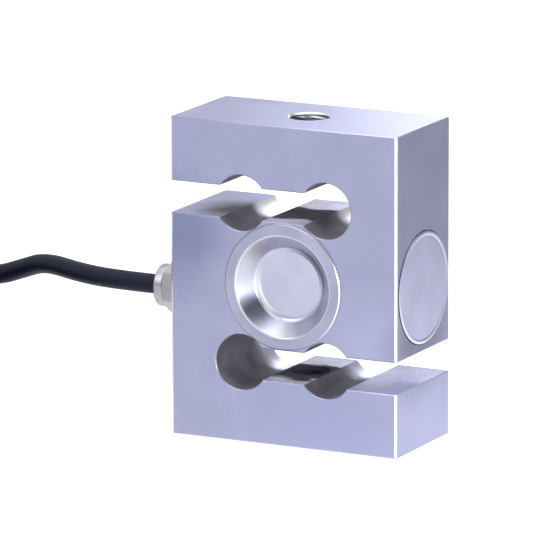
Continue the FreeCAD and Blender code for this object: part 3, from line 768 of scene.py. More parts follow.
    CORE_COLOURS = {
        "red": (0.42, 0.012, 0.010),
        "black": (0.012, 0.012, 0.013),
        "green": (0.010, 0.16, 0.035),
        "white": (0.72, 0.71, 0.68),
    }

    def __init__(self, effects: Effects) -> None:
        """Builds every material once.

        Args:
            effects: The shared groups.
        """
        cores = [Finish(f"core_{name}", colour, 0.0, 0.34, 0.0004, 0.00001, 0.0, 0.006)
                 for name, colour in self.CORE_COLOURS.items()]
        self.made = {finish.name: finish.material(effects) for finish in (*self.FIXED, *cores)}

    def __getitem__(self, name: str) -> Material:
        """Material by its finish's name."""
        return self.made[name]


# The cell's sub-assemblies.


@dataclass
class Workshop:
    """Makes pieces from patches and from the frame's solids, with the finishes of the cell."""

    nodes: dict[str, PieceObject]
    finishes: Finishes

    def finished(self, name: str, mesh: Mesh, finishes: tuple[str, ...], crease: float,
                 outwards: bool) -> PieceObject:
        """Object of a mesh: its equal points merge, and it is smooth but for its creases.

        Args:
            name: The object's name.
            mesh: The mesh, in metres.
            finishes: Names of its finishes, in the order of its faces' numbers.
            crease: Angle in degrees past which an edge stays sharp.
            outwards: Whether the faces' directions are worked out again.

        Returns:
            The object, at the origin, with its place in its mesh.
        """
        for finish in finishes:
            mesh.materials.append(self.finishes[finish])
        work = bmesh.new()
        work.from_mesh(mesh)
        bmesh.ops.remove_doubles(work, verts=work.verts, dist=MERGE_WITHIN)
        bmesh.ops.dissolve_degenerate(work, edges=work.edges, dist=SLIVER)
        if outwards:
            bmesh.ops.recalc_face_normals(work, faces=work.faces)
        work.to_mesh(mesh)
        work.free()
        mesh.polygons.foreach_set("use_smooth", np.ones(len(mesh.polygons), bool))
        mesh.set_sharp_from_angle(angle=math.radians(crease))
        return linked(name, mesh)

    def shell(self, name: str, patches: list[Patch], *finishes: str,
              crease: float = SOFT_CREASE) -> PieceObject:
        """Piece made of patches, welded into closed shells.

        Args:
            name: The piece's name.
            patches: Its surfaces, in millimetres.
            finishes: Names of its finishes, in the order of the patches' numbers.
            crease: Angle in degrees past which an edge stays sharp.

        Returns:
            The piece.
        """
        offsets = np.cumsum([0] + [len(patch.points) for patch in patches[:-1]])
        points = np.concatenate([patch.points for patch in patches]) * MM
        faces = np.concatenate([patch.faces + offset for patch, offset in zip(patches, offsets)])
        mesh = bpy.data.meshes.new(name)
        mesh.from_pydata(points.tolist(), [], faces.tolist())
        mesh.polygons.foreach_set("material_index", np.concatenate([patch.finish for patch in patches]))
        return self.finished(name, mesh, finishes, crease, True)

    def copy(self, name: str, node: str, *finishes: str, crease: float = SOFT_CREASE) -> PieceObject:
        """Copy of a solid's loose triangles, merged so that its curved walls shade smoothly.

        Args:
            name: The copy's name.
            node: Name of the solid.
            finishes: Names of the copy's finishes.
            crease: Angle in degrees past which an edge stays sharp.

        Returns:
            The copy.
        """
        source = self.nodes[node].data
        corners = np.zeros(len(source.loops), int)
        source.loops.foreach_get("vertex_index", corners)
        mesh = bpy.data.meshes.new(name)
        mesh.from_pydata(vectors(source.vertices, "co").tolist(), [], corners.reshape(-1, 3).tolist())
        return self.finished(name, mesh, finishes, crease, False)

    def cord(self, name: str, points: np.ndarray, diameter: float, finish: str) -> PieceObject:
        """Round cable on a spline.

        Args:
            name: The piece's name.
            points: Control points in millimetres, (n, 3).
            diameter: The cable's diameter in millimetres.
            finish: Name of its finish.

        Returns:
            The curve object.
        """
        made = spline(name, points, CORD_STEPS)
        made.data.bevel_depth = diameter / 2 * MM
        made.data.bevel_resolution = CORD_STEPS
        made.data.use_fill_caps = True
        made.data.materials.append(self.finishes[finish])
        bpy.context.collection.objects.link(made)
        return made


class Kind(int, Enum):
    """Kind of face of a piece: its number there, with the name of its finish."""

    def __new__(cls, finish: str) -> Kind:
        """Numbers the kinds in their order.

        Args:
            finish: Name of the kind's finish.

        Returns:
            The kind.
        """
        made = int.__new__(cls, len(cls.__members__))
        made._value_ = len(cls.__members__)
        made.finish = finish
        return made

    @classmethod
    def finishes(cls) -> list[str]:
        """Names of the kinds' finishes, in order."""
        return [kind.finish for kind in cls]


class Cut(Kind):
    """Faces of the block. A ledge is a slot's wall beyond its lobes."""

    OUTER = "blasted_steel"
    EASED = "eased_edge"
    CORNER = "bright_corner"
    SLOT = "machined_slot"
    LOBE = "bored_lobe"
    LEDGE = "machined_ledge"
    MOUTH = "thread_mouth"
    BORE = "tapped_bore"
    LOW_LOBE = "lower_lobe"


@dataclass
class Block:
    """Machined S block, with its walls shaded smoothly and a finish for each kind of cut."""

    shop: Workshop
    half_width: float = 31.0
    half_depth: float = 15.0
    height: float = 80.0
    arm: float = 16.0
    slot: float = 8.0
    lobe_across: float = 11.5
    corner_chamfer: float = 0.6
    thread_radius: float = 5.0
    thread_depth: float = 0.81
    thread_pitch: float = 1.5
    thread_mouth: float = 0.4
    thread_bed: float = 0.03
    thread_steps: int = 64

    # Shares of the pitch: half the ridge's width at its foot and at its crest.
    FOOT, CREST = 7 / 16, 1 / 8
    # A face is straight if its normal goes over this far along an axis, and upright if it goes
    # under this far along Z.
    STRAIGHT, UPRIGHT = 0.99, 0.1
    # Millimetres: how near a face is to an outer side, a slot's wall or a thread's bore.
    ON_SIDE, ON_WALL, ON_BORE = 0.05, 0.01, 1.0

    def finish_of_faces(self, mesh: Mesh) -> np.ndarray:
        """Kind of each face.

        Args:
            mesh: The welded block, in metres.

        Returns:
            One of Cut for each face, as its number.
        """
        half = np.array([self.half_width, self.half_depth, self.height / 2])
        centre = vectors(mesh.polygons, "center") / MM - [0, 0, self.height / 2]
        normal = vectors(mesh.polygons, "normal")
        depth = half - np.abs(centre)
        straight = np.abs(normal).max(1) > self.STRAIGHT
        facing = np.take_along_axis(depth, np.abs(normal).argmax(1)[:, None], 1)[:, 0]
        outer = straight & (facing < self.ON_SIDE)
        by_bore = np.hypot(centre[:, 0], centre[:, 1]) < self.thread_radius + self.ON_BORE
        eased = ~straight & (depth.min(1) < self.corner_chamfer) & ~by_bore
        mouth = ~straight & (depth[:, 2] < self.thread_mouth) & by_bore
        corner = eased & (depth[:, :2].max(1) < self.corner_chamfer)
        corner &= np.abs(normal[:, 2]) < self.UPRIGHT
        walls = [self.height / 2 - self.arm - self.slot, self.height / 2 - self.arm]
        slot = np.isclose(np.abs(centre[:, 2])[:, None], walls, atol=self.ON_WALL).any(1) & straight
        ledge = slot & (np.abs(centre[:, 0]) > self.lobe_across)
        kinds = {Cut.OUTER: outer, Cut.CORNER: corner, Cut.MOUTH: mouth, Cut.EASED: eased,
                 Cut.LEDGE: ledge, Cut.SLOT: slot, Cut.BORE: by_bore, Cut.LOW_LOBE: centre[:, 2] < 0}
        return np.select(list(kinds.values()), [int(kind) for kind in kinds], int(Cut.LOBE))

    def thread(self, low: float, high: float) -> Patch:
        """Thread ridge on a right-hand helix, (r cos 2 pi s, r sin 2 pi s, low + pitch s).

        The ridge is a trapezium that fades out over a half turn at each end.

        Args:
            low: Lowest height of the ridge.
            high: Highest height of the ridge.

        Returns:
            The ridge as a closed tube.
        """
        foot, crest = self.FOOT * self.thread_pitch, self.CREST * self.thread_pitch
        low, high = low + foot, high - foot
        turns = (high - low) / self.thread_pitch
        s = np.linspace(0, turns, int(turns * self.thread_steps))
        fade = smoothstep(np.minimum(s, turns - s) * 2)[:, None]
        outside = np.full_like(fade, self.thread_radius + self.thread_bed)
        inside = self.thread_radius + self.thread_bed / 2 - fade * self.thread_depth
        radius = np.concatenate([outside, inside, inside, outside], axis=1)
        turn = 2 * math.pi * s[:, None]
        height = low + self.thread_pitch * s[:, None] + [-foot, -crest, crest, foot]
        return capped(np.stack([radius * np.cos(turn), radius * np.sin(turn), height], axis=-1))

    def build(self) -> None:
        """Makes the block and its two threads."""
        block = self.shop.copy("block", "body", *Cut.finishes())
        block.data.polygons.foreach_set("material_index", self.finish_of_faces(block.data))
        place(block, "body_steel", "body")
        levels = {
            "bottom_thread_ridge": (self.thread_mouth, self.arm, "tapped_bore"),
            "top_thread_ridge": (self.height - self.arm, self.height - self.thread_mouth, "cut_thread"),
        }
        for name, (low, high, finish) in levels.items():
            place(self.shop.shell(name, [self.thread(low, high)], finish), "body_steel")


class CupFace(Kind):
    """Faces of a cup cover."""

    FLANGE = "cup_flange"
    WALL = "cup_wall"
    FLOOR = "cup_floor"
    SEAM = "bonded_seam"
    RIM = "cup_rim"
    FILLET = "cup_fillet"
    LIP = "cup_lip"


@dataclass
class CupCover:
    """Turned cup over one end of the gauge bore, with its own name and its solid's."""

    shop: Workshop
    name: str
    node: str
    facing: float
    bore_height: float = 40.0
    face: float = 15.0
    spigot_radius: float = 13.8
    spigot_length: float = 1.2
    flange_radius: float = 15.8
    flange_thickness: float = 0.5
    flange_chamfer: float = 0.32
    mouth_radius: float = 12.8
    floor_radius: float = 9.0
    depth: float = 4.6
    wall: float = 0.8
    lip_rounding: float = 0.6
    floor_rounding: float = 2.0
    segments: int = 256

    def corners(self) -> list[Corner]:
        """Outline from the centre of the back, over the flange, to the centre of the floor.

        Returns:
            The corners in order.
        """
        floor = self.flange_thickness - self.depth
        slope = (self.mouth_radius - self.floor_radius) / self.depth
        outside = self.floor_radius + self.wall * math.hypot(1, slope)
        back = floor - self.wall
        return [
            Corner(0, back),
            Corner(outside - self.wall * slope, back, 0.5),
            Corner(outside - (self.spigot_length + floor) * slope, -self.spigot_length),
            Corner(self.spigot_radius, -self.spigot_length),
            Corner(self.spigot_radius, 0),
            Corner(self.flange_radius, 0, 0, CupFace.SEAM),
            Corner(self.flange_radius, self.flange_thickness - self.flange_chamfer, 0, CupFace.RIM),
            Corner(self.flange_radius - self.flange_chamfer, self.flange_thickness, 0.08, CupFace.FLANGE),
            Corner(self.mouth_radius, self.flange_thickness, self.lip_rounding, CupFace.LIP, CupFace.WALL),
            Corner(self.floor_radius, floor, self.floor_rounding, CupFace.FILLET, CupFace.FLOOR),
            Corner(0, floor, 0, CupFace.FLOOR),
        ]

    def build(self) -> None:
        """Makes the cover."""
        base, axis = (0, self.facing * self.face, self.bore_height), (0, self.facing, 0)
        patch = turned(self.corners(), base, axis, self.segments)
        cup = self.shop.shell(self.name, [patch], *CupFace.finishes(), crease=TURNED_CREASE)
        place(cup, "cup_steel", self.node)


class DiscFace(Kind):
    """Faces of the side disc."""

    FLAT = "side_disc"
    BEAD = "disc_bead"
    SEAM = "bonded_seam"


@dataclass
class SideDisc:
    """Disc over the board pocket, with a low rounded bead round its rim."""

    shop: Workshop
    radius: float = 14.0
    seat_depth: float = 1.2
    proud: float = 0.35
    bead_width: float = 1.1
    bead_drop: float = 0.14
    bead_rounding: float = 0.4
    centre: Triple = (31.0, 0.0, 40.0)
    segments: int = 256

    def build(self) -> None:
        """Makes the disc. Its bead's top is the middle third of its width."""
        low, step, rounding = self.proud - self.bead_drop, self.bead_width / 3, self.bead_rounding
        bead = DiscFace.BEAD
        corners = [
            Corner(0, -self.seat_depth),
            Corner(self.radius, -self.seat_depth, 0.1, DiscFace.FLAT, DiscFace.SEAM),
            Corner(self.radius, low, 0.1, bead),
            Corner(self.radius - step, self.proud, rounding, bead),
            Corner(self.radius - 2 * step, self.proud, rounding, bead),
            Corner(self.radius - self.bead_width, low, rounding, bead, DiscFace.FLAT),
            Corner(0, low),
        ]
        patch = turned(corners, self.centre, (1, 0, 0), self.segments)
        disc = self.shop.shell("side_disc", [patch], *DiscFace.finishes(), crease=TURNED_CREASE)
        place(disc, "side_disc_steel", "side_cover")


@dataclass
class Gland:
    """Cable gland: hexagon, round nose and the ring at its foot."""

    shop: Workshop
    base: Triple = (-31.0, 0.0, 33.7)
    bore_radius: float = 2.65
    spigot_radius: float = 4.55
    spigot_start: float = 5.1
    hexagon_end: float = 7.2
    neck_end: float = 7.9
    length: float = 10.2
    joint_depth: float = 0.45
    nose_radius: float = 5.4
    mouth_chamfer: float = 0.25
    ring_radius: float = 4.4
    ring_section: float = 0.4
    ring_points: int = 25
    ring_segments: int = 96

    def build(self) -> None:
        """Makes the three pieces."""
        facing = (-1, 0, 0)
        hexagon = self.shop.copy("gland_hexagon", "gland_body", "gland_nickel", crease=HEXAGON_CREASE)
        place(hexagon, "gland_steel", "gland_body")
        corners = [
            Corner(self.bore_radius, self.spigot_start),
            Corner(self.spigot_radius, self.spigot_start, 0.15),
            Corner(self.spigot_radius, self.hexagon_end),
            Corner(self.nose_radius - self.joint_depth, self.hexagon_end),
            Corner(self.nose_radius, self.neck_end, 0.25),
            Corner(self.nose_radius, self.length, 0.55),
            Corner(self.bore_radius + self.mouth_chamfer, self.length, 0.1),
            Corner(self.bore_radius, self.length - self.mouth_chamfer),
            Corner(self.bore_radius, self.spigot_start),
        ]
        nose = self.shop.shell("gland_nose", [turned(corners, self.base, facing)], "gland_nickel")
        place(nose, "gland_steel", "gland_nut")
        section = [
            Corner(self.ring_radius + self.ring_section * math.cos(turn),
                   self.ring_section * (math.sin(turn) - 1))
            for turn in np.linspace(0, 2 * math.pi, self.ring_points)
        ]
        patch = turned(section, self.base, facing, self.ring_segments)
        place(self.shop.shell("gland_ring", [patch], "seal_rubber"), "seal_rubber", "gland_o_ring")


@dataclass
class Route:
    """Centre line of the cable, from the gland's mouth to the end of its jacket."""

    exit: Triple = (-41.2, 0.0, 33.7)
    diameter: float = 5.0
    lead: tuple = ((-12.0, 0, 0), (-24.0, 2.7, 0), (-38.0, 8.9, 0.5), (-46.0, 11.6, -2.5))
    last_run: float = 8.0
    stub: float = 19.0
    centre: tuple[float, float] = (-122.0, -18.0)
    mean_radius: float = 26.0
    layers: int = 6
    columns: int = 3
    tie: float = 0.8
    lead_angle: float = 90.0
    tail_angle: float = 240.0
    points_a_turn: int = 16
    jog_sweep: float = 105.0
    jog_end: float = 60.0
    jog_shift: float = 30.0
    tail_run: float = 8.0
    tail_turns: tuple = (20.0, 20.0)

    @property
    def outer_radius(self) -> float:
        """Radius of the outermost turn's centre line."""
        return self.mean_radius + (self.columns - 1) * self.diameter / 2

    def level(self, layer: int) -> float:
        """Height of one layer's centre line, from 0 at the top layer."""
        return self.tie + (self.layers - layer - 0.5) * self.diameter

    def on_coil(self, angle: float, height: float) -> tuple[np.ndarray, np.ndarray]:
        """Point of the outer turn, and the direction of winding there.

        Args:
            angle: Angle from +X towards +Y, in degrees.
            height: Height of the centre line.

        Returns:
            The point and the unit direction.
        """
        turn = math.radians(angle)
        point = [self.centre[0] + self.outer_radius * math.cos(turn),
                 self.centre[1] + self.outer_radius * math.sin(turn), height]
        return np.array(point), np.array([-math.sin(turn), math.cos(turn), 0.0])

    def wound(self) -> np.ndarray:
        """Control points of the wound turns: circles that step in or out once in each turn.

        The points stand on circles a little larger than the turns, by one over the cosine of
        half a step, so that the spline between them touches the turns. Radius and height are
        sums of smooth steps, one for each change of turn or layer.

        Returns:
            The points in order, (n, 3).
        """
        turns = self.layers * self.columns - 1 + (self.tail_angle - self.lead_angle) / 360
        count = round(turns * self.points_a_turn)
        step = turns * 360 / count
        angle = self.lead_angle + step * (np.arange(count) + 0.5)
        radius = np.full(count, self.outer_radius)
        height = np.full(count, self.level(0))
        for change in range(self.layers * self.columns - 1):
            layer, column = divmod(change, self.columns)
            last = column == self.columns - 1
            shift = self.jog_shift * (layer + (0.5 if last else 0.0))
            start = self.jog_end - self.jog_sweep - shift + 360 * (change + 1)
            rise = smoothstep((angle - start) / self.jog_sweep)
            if last:
                height -= rise * self.diameter
            else:
                radius += rise * self.diameter * (-1 if layer % 2 == 0 else 1)
        radius /= math.cos(math.radians(step / 2))
        turn = np.radians(angle)
        return np.stack([self.centre[0] + radius * np.cos(turn),
                         self.centre[1] + radius * np.sin(turn), height], axis=-1)

    def tail(self) -> tuple[np.ndarray, float]:
        """Tail of the cable beside the coil.

        Returns:
            Its points, and its last heading in degrees.
        """
        join, onward = self.on_coil(self.tail_angle, self.level(self.layers - 1))
        points, angle = [join + onward * self.stub], self.tail_angle + 90
        points.append(points[0] + onward * self.tail_run)
        for turn in self.tail_turns:
            angle += turn
            points.append(points[-1] + self.tail_run * heading(angle))
        return np.array(points), angle

    def points(self) -> np.ndarray:
        """All control points of the cable.

        Returns:
            The points in order, (n, 3).
        """
        start = np.array(self.exit)
        join, onward = self.on_coil(self.lead_angle, self.level(0))
        lead_end = join - onward * self.stub
        lead = [start] + [start + np.array(offset) for offset in self.lead]
        lead += [lead_end - onward * self.last_run, lead_end]
        half_step = math.radians(180 / self.points_a_turn)
        before = join - onward * self.outer_radius * math.tan(half_step)
        tail_join, tail_onward = self.on_coil(self.tail_angle, self.level(self.layers - 1))
        after = tail_join + tail_onward * self.outer_radius * math.tan(half_step)
        return np.concatenate([lead, [before], self.wound(), [after], self.tail()[0]])


def heading(angle: float) -> np.ndarray:
    """Level unit vector at an angle in degrees from +X towards +Y."""
    return np.array([math.cos(math.radians(angle)), math.sin(math.radians(angle)), 0.0])


def spline(name: str, points: np.ndarray, resolution: int) -> PieceObject:
    """Smooth spline with the given control points, and no thickness.

    Args:
        name: The curve's name.
        points: Control points in millimetres, (n, 3).
        resolution: Steps between two control points.

    Returns:
        The curve object.
    """
    curve = bpy.data.curves.new(name, "CURVE")
    curve.dimensions = "3D"
    line = curve.splines.new("NURBS")
    line.points.add(len(points) - 1)
    line.points.foreach_set("co", np.c_[points * MM, np.ones(len(points))].ravel())
    line.order_u = 3
    line.use_endpoint_u = True
    curve.resolution_u = resolution
    return bpy.data.objects.new(name, curve)


def points_along(points: np.ndarray, resolution: int = 24) -> np.ndarray:
    """Points along a spline, read from Blender's own curve.

    Args:
        points: Control points in millimetres, (n, 3).
        resolution: Steps between two control points.

    Returns:
        The points in order, in millimetres.
    """
    guide = spline("guide", points, resolution)
    mesh = bpy.data.meshes.new_from_object(guide)
    along = vectors(mesh.vertices, "co") / MM
    curve = guide.data
    bpy.data.objects.remove(guide)
    bpy.data.curves.remove(curve)
    bpy.data.meshes.remove(mesh)
    return along


@dataclass
class CableEnd:
    """Shrink sleeve, the four insulated cores and the drain wire at the end of the jacket."""

    shop: Workshop
    route: Route
    core_radius: float = 0.55
    core_pitch: float = 1.7
    core_length: float = 28.0
    bared: float = 6.0
    strand_radius: float = 0.16
    strand_twist: float = 6.0
    outer_strands: int = 6
    sleeve_radius: float = 3.3
    sleeve_overlap: float = 5.0
    sleeve_neck: float = 2.2
    sleeve_length: float = 13.0
    sleeve_gap: float = 0.02
    sleeve_slope: float = 0.6
    sleeve_segments: int = 64

    # Each core's place across and above, and the angle at which it leaves, for core_route.
    PLACING = {
        "red": (1, 1, 9.0),
        "black": (1, -1, 23.0),
        "green": (-1, 1, -9.0),
        "white": (-1, -1, -23.0),
        "drain": (0, 0, 0.0),
    }

    def core_route(self, across: float, above: float, spread: float) -> np.ndarray:
        """Points of one core, from the sleeve to its end on the floor.

        Args:
            across: Place across the cable, in half pitches.
            above: Place above the cable's centre, in half pitches.
            spread: Angle in degrees by which it leaves the cable's heading.

        Returns:
            Four points.
        """
        ends, angle = self.route.tail()
        onward, outward, run = heading(angle), heading(angle + spread), self.core_length / 4
        offset = (heading(angle + 90) * across + np.array([0, 0, 1.0]) * above) * (self.core_pitch / 2)
        start = ends[-1] + onward * (self.sleeve_length - self.sleeve_overlap) + offset
        knee = start + onward * run
        landing = knee + outward * run
        landing[2] = self.core_radius
        return np.array([start, knee, landing, landing + outward * 2 * run])

    def strands(self, name: str, points: np.ndarray) -> PieceObject:
        """Bare strands on a spline: one in the middle, the others on helices round it.

        Args:
            name: The piece's name.
            points: Control points of the middle strand.

        Returns:
            The piece, not yet placed.
        """
        line = points_along(points)
        length = np.r_[0, np.cumsum(np.linalg.norm(np.diff(line, axis=0), axis=1))]
        across, upright = frame_along(line)
        patches = [round_tube(line, self.strand_radius)]
        for number in range(self.outer_strands):
            turn = 2 * math.pi * (length / self.strand_twist + number / self.outer_strands)[:, None]
            around = 2 * self.strand_radius * (across * np.cos(turn) + upright * np.sin(turn))
            patches.append(round_tube(line + around, self.strand_radius))
        return self.shop.shell(name, patches, "tinned_copper", crease=STRAND_CREASE)

    def sleeve(self) -> PieceObject:
        """Makes the shrink sleeve over the jacket's end.

        Returns:
            The piece.
        """
        ends, angle = self.route.tail()
        inner, end = self.route.diameter / 2 + self.sleeve_gap, self.sleeve_length - self.sleeve_overlap
        outline = [
            Corner(inner, -self.sleeve_overlap),
            Corner(self.sleeve_radius, -self.sleeve_overlap, 0.3),
            Corner(self.sleeve_radius, 0.0, 1.2),
            Corner(self.sleeve_neck, self.sleeve_radius - self.sleeve_neck + self.sleeve_slope, 1.0),
            Corner(self.sleeve_neck, end, 0.3),
            Corner(0, end),
            Corner(0, 0),
            Corner(inner, 0),
            Corner(inner, -self.sleeve_overlap),
        ]
        patch = turned(outline, tuple(ends[-1]), tuple(heading(angle)), self.sleeve_segments)
        made = self.shop.shell("end_sleeve", [patch], "shrink_sleeve", crease=TURNED_CREASE)
        return place(made, "sleeve_plastic", "cable_end_sleeve")

    def build(self) -> list[PieceObject]:
        """Makes the sleeve and the cores.

        Returns:
            The pieces.
        """
        made = [self.sleeve()]
        for colour, placing in self.PLACING.items():
            points = self.core_route(*placing)
            if colour == "drain":
                wire = self.strands("drain_strands", points)
                made.append(place(wire, "tinned_copper", "tail_core_drain"))
                continue
            outward = (points[3] - points[2]) / np.linalg.norm(points[3] - points[2])
            bare_start = points[3] - outward * self.bared
            covered = np.array([*points[:3], bare_start])
            core = self.shop.cord(f"core_{colour}_jacket", covered, 2 * self.core_radius, f"core_{colour}")
            made.append(place(core, f"core_{colour}", f"tail_core_{colour}"))
            bare = np.array([bare_start - outward, bare_start, points[3]])
            made.append(place(self.strands(f"core_{colour}_strands", bare), "tinned_copper"))
        return made


@dataclass
class Cable:
    """The cable's jacket, its coil's ties and its bare end."""

    shop: Workshop
    route: Route
    length: float = 3.0

    def build(self) -> None:
        cable = self.shop.cord("cable", self.route.points(), self.route.diameter, "cable_jacket")
        place(cable, "cable_jacket", "cable_lead", "cable_coil", "cable_tail")
        pieces = CableEnd(self.shop, self.route).build()
        for number in (1, 2):
            tie = self.shop.copy(f"tie_{number}", f"coil_tie_{number}", "tie_plastic", crease=TIE_CREASE)
            pieces.append(place(tie, "tie_plastic", f"coil_tie_{number}"))


@dataclass
class SealedPieces:
    """Pieces inside the body, which keep their own solids and get a finish."""

    shop: Workshop

    # Start of the solids' names for each finish.
    FINISH_OF = {
        "gauge_film": "strain_gauge_",
        "terminal_copper": "terminal_",
        "lead_enamel": "gauge_lead_",
        "core_red": "bridge_wire_red",
        "core_black": "bridge_wire_black",
        "core_green": "bridge_wire_green",
        "core_white": "bridge_wire_white",
        "board_laminate": "compensation_board",
        "pad_foam": "board_pad",
        "seal_rubber": "gland_seal",
        "washer_plastic": "gland_washer",
        "cable_jacket": "cable_in_gland",
    }
    RESISTORS = "_resistor"

    def build(self) -> None:
        """Gives each sealed piece its finish."""
        for name, node in self.shop.nodes.items():
            for finish, start in self.FINISH_OF.items():
                if name.startswith(start):
                    node.material_slots[0].material = self.shop.finishes[finish]
            if name.endswith(self.RESISTORS):
                node.material_slots[0].material = self.shop.finishes["resistor_ceramic"]
        log.info("dressed the sealed pieces")


# Camera, floor and light.


@dataclass
class Camera:
    """Camera of the photograph, by its direction, distance and framing."""

    azimuth: float = 26.468
    elevation: float = 12.437
    distance: float = 1625.19
    focal_pixels: float = 6584.05
    shift_right: float = 34.98
    shift_down: float = 0.43
    roll: float = -0.106
    target: Triple = (0.0, 0.0, 40.0)
    photo_pixels: float = 550.0
    sensor: float = 36.0
    clip: tuple[float, float] = (0.05, 50.0)

    def build(self) -> None:
        """Makes the camera and sets it as the scene's own."""
        a, e = math.radians(self.azimuth), math.radians(self.elevation)
        back = Vector((math.sin(a) * math.cos(e), -math.cos(a) * math.cos(e), math.sin(e)))
        data = bpy.data.cameras.new("camera")
        data.sensor_width = self.sensor
        data.lens = self.focal_pixels / self.photo_pixels * self.sensor
        data.shift_x = -self.shift_right / self.photo_pixels
        data.shift_y = self.shift_down / self.photo_pixels
        data.clip_start, data.clip_end = self.clip
        camera = linked("camera", data)
        spot = (Vector(self.target) + back * self.distance) * MM
        turn = back.to_track_quat("Z", "Y").to_matrix().to_4x4()
        roll = Matrix.Rotation(math.radians(self.roll), 4, "Z")
        camera.matrix_world = Matrix.Translation(spot) @ turn @ roll
        bpy.context.scene.camera = camera


@dataclass(frozen=True)
class Glow:
    """Soft round patch of light or dark in the room that the steel reflects."""

    direction: Triple
    inner: float
    outer: float
    amount: float


@dataclass(frozen=True)
class Lamp:
    """Square soft lamp that faces a point of the cell, in millimetres and watts."""

    name: str
    spot: Triple
    size: float
    power: float
    aim: Triple = (0.0, 0.0, 40.0)

    def build(self) -> None:
        """Makes the lamp."""
        data = bpy.data.lights.new(self.name, "AREA")
        data.shape, data.size, data.energy = "SQUARE", self.size * MM, self.power
        lamp = linked(self.name, data)
        lamp.visible_camera = False
        turn = (Vector(self.spot) - Vector(self.aim)).to_track_quat("Z", "Y").to_matrix().to_4x4()
        lamp.matrix_world = Matrix.Translation(Vector(self.spot) * MM) @ turn


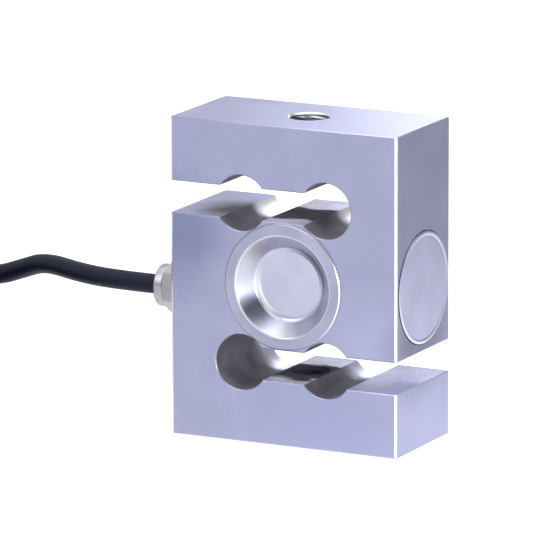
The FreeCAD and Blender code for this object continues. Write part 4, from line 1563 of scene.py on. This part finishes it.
class Studio:
    """White floor, soft lamps and the pale room round the cell."""

    FLOOR_HALF = 3000.0
    FLOOR_POINTS = 9
    FLOOR_COLOUR = (0.9, 0.9, 0.9, 1.0)
    FLOOR_GLOW = 0.6
    # A direction on the floor, and remaps of the metres along it: from, to, start and end.
    FLOOR_RUN = (0.66, 0.75, 0.0)
    FLOOR_NEAR = (-0.05, 0.05, 1.1, 1.5)
    FLOOR_FAR = (0.03, 0.22, 1.0, 0.40)
    ROOM = 0.72
    ROOM_LIGHT = 0.42
    GLOWS = (
        Glow((0.0, 0.0, 1.0), 25.0, 50.0, 0.7),
        Glow((0.74, -0.25, 0.62), 22.0, 48.0, -0.42),
        Glow((-0.46, 0.87, 0.12), 20.0, 40.0, 0.02),
        Glow((0.45, 0.85, 0.25), 12.0, 34.0, -0.45),
    )
    LAMPS = (
        Lamp("key", (-700, -900, 900), 700, 2.6),
        Lamp("strip", (820, -420, 60), 420, 2.4),
        Lamp("top", (0, 100, 1100), 800, 3.0),
        Lamp("card", (-60, 300, 215), 130, 0.17, (25.0, 0.0, 80.0)),
    )

    def floor(self) -> None:
        """Makes the floor, which keeps the shadow.

        In reflections it is a little brighter than white in front of the cell. Behind it the
        brightness first rises and then falls with the distance along FLOOR_RUN.
        """
        x = np.linspace(-self.FLOOR_HALF, self.FLOOR_HALF, self.FLOOR_POINTS)
        grid = np.stack(np.meshgrid(x, x, indexing="ij"), axis=-1).reshape(-1, 2)
        points = np.c_[grid, np.zeros(len(grid))] * MM
        mesh = bpy.data.meshes.new("floor")
        mesh.from_pydata(points.tolist(), [], grid_faces(len(x), len(x), False).tolist())
        material = bpy.data.materials.new("floor_white")
        graph = Graph.of(material)
        seen = graph.node("ShaderNodeLightPath").outputs
        lit = graph.node("ShaderNodeBsdfDiffuse", {"Color": self.FLOOR_COLOUR})
        glow = graph.math("MULTIPLY", seen["Is Camera Ray"], self.FLOOR_GLOW)
        light = graph.node("ShaderNodeEmission", {"Color": WHITE, "Strength": glow})
        both = graph.node("ShaderNodeAddShader", {0: lit.outputs[0], 1: light.outputs[0]})
        run = graph.vector("DOT_PRODUCT", graph.place_on(), self.FLOOR_RUN, output=1)
        near, far = graph.remap(run, *self.FLOOR_NEAR), graph.remap(run, *self.FLOOR_FAR)
        level = graph.math("MULTIPLY", near, far)
        mirrored = graph.node("ShaderNodeEmission", {"Color": WHITE, "Strength": level})
        mix = graph.node("ShaderNodeMixShader", {0: seen["Is Glossy Ray"], 1: both.outputs[0],
                                                 2: mirrored.outputs[0]})
        graph.node("ShaderNodeOutputMaterial", {"Surface": mix.outputs[0]})
        mesh.materials.append(material)
        linked("floor", mesh)

    def world(self) -> None:
        """Makes the world: white to the camera, a soft room in reflections, and even light."""
        world = bpy.data.worlds.new("studio")
        graph = Graph.of(world)
        direction = graph.node("ShaderNodeTexCoord").outputs["Generated"]
        room = graph.node("ShaderNodeValue").outputs[0]
        room.default_value = self.ROOM
        for glow in self.GLOWS:
            axis = tuple(Vector(glow.direction).normalized())
            near = graph.vector("DOT_PRODUCT", direction, axis, output=1)
            edges = [math.cos(math.radians(angle)) for angle in (glow.outer, glow.inner)]
            room = graph.math("ADD", room, graph.remap(near, *edges, 0.0, glow.amount))
        seen = graph.node("ShaderNodeLightPath").outputs
        plain = graph.math("MAXIMUM", seen["Is Camera Ray"], seen["Is Transmission Ray"])
        glossy = graph.math("MULTIPLY", seen["Is Glossy Ray"], room)
        rest = graph.math("SUBTRACT", 1.0, graph.math("MAXIMUM", plain, seen["Is Glossy Ray"]))
        strength = graph.math("MULTIPLY_ADD", rest, self.ROOM_LIGHT, graph.math("ADD", plain, glossy))
        sky = graph.node("ShaderNodeBackground", {"Color": WHITE, "Strength": strength})
        graph.node("ShaderNodeOutputWorld", {"Surface": sky.outputs[0]})
        bpy.context.scene.world = world

    def build(self) -> None:
        """Makes the floor, the world and the lamps, and sets plain colours."""
        bpy.context.scene.view_settings.view_transform = "Standard"
        self.floor()
        self.world()
        for lamp in self.LAMPS:
            lamp.build()


def main() -> None:
    """Builds the cell's looks in order, and reports each piece."""
    logging.basicConfig(level=logging.INFO, format="%(name)s: %(message)s")
    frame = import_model()
    Camera().build()
    shop = Workshop(frame["nodes"], Finishes(Effects()))
    assemblies = (Cable(shop, Route()), Block(shop),
                  CupCover(shop, "front_cup", "front_cup_cover", -1.0),
                  CupCover(shop, "rear_cup", "rear_cup_cover", 1.0),
                  SideDisc(shop), Gland(shop), SealedPieces(shop))
    for assembly in assemblies:
        assembly.build()
    Studio().build()


if __name__ == "__main__":
    main()
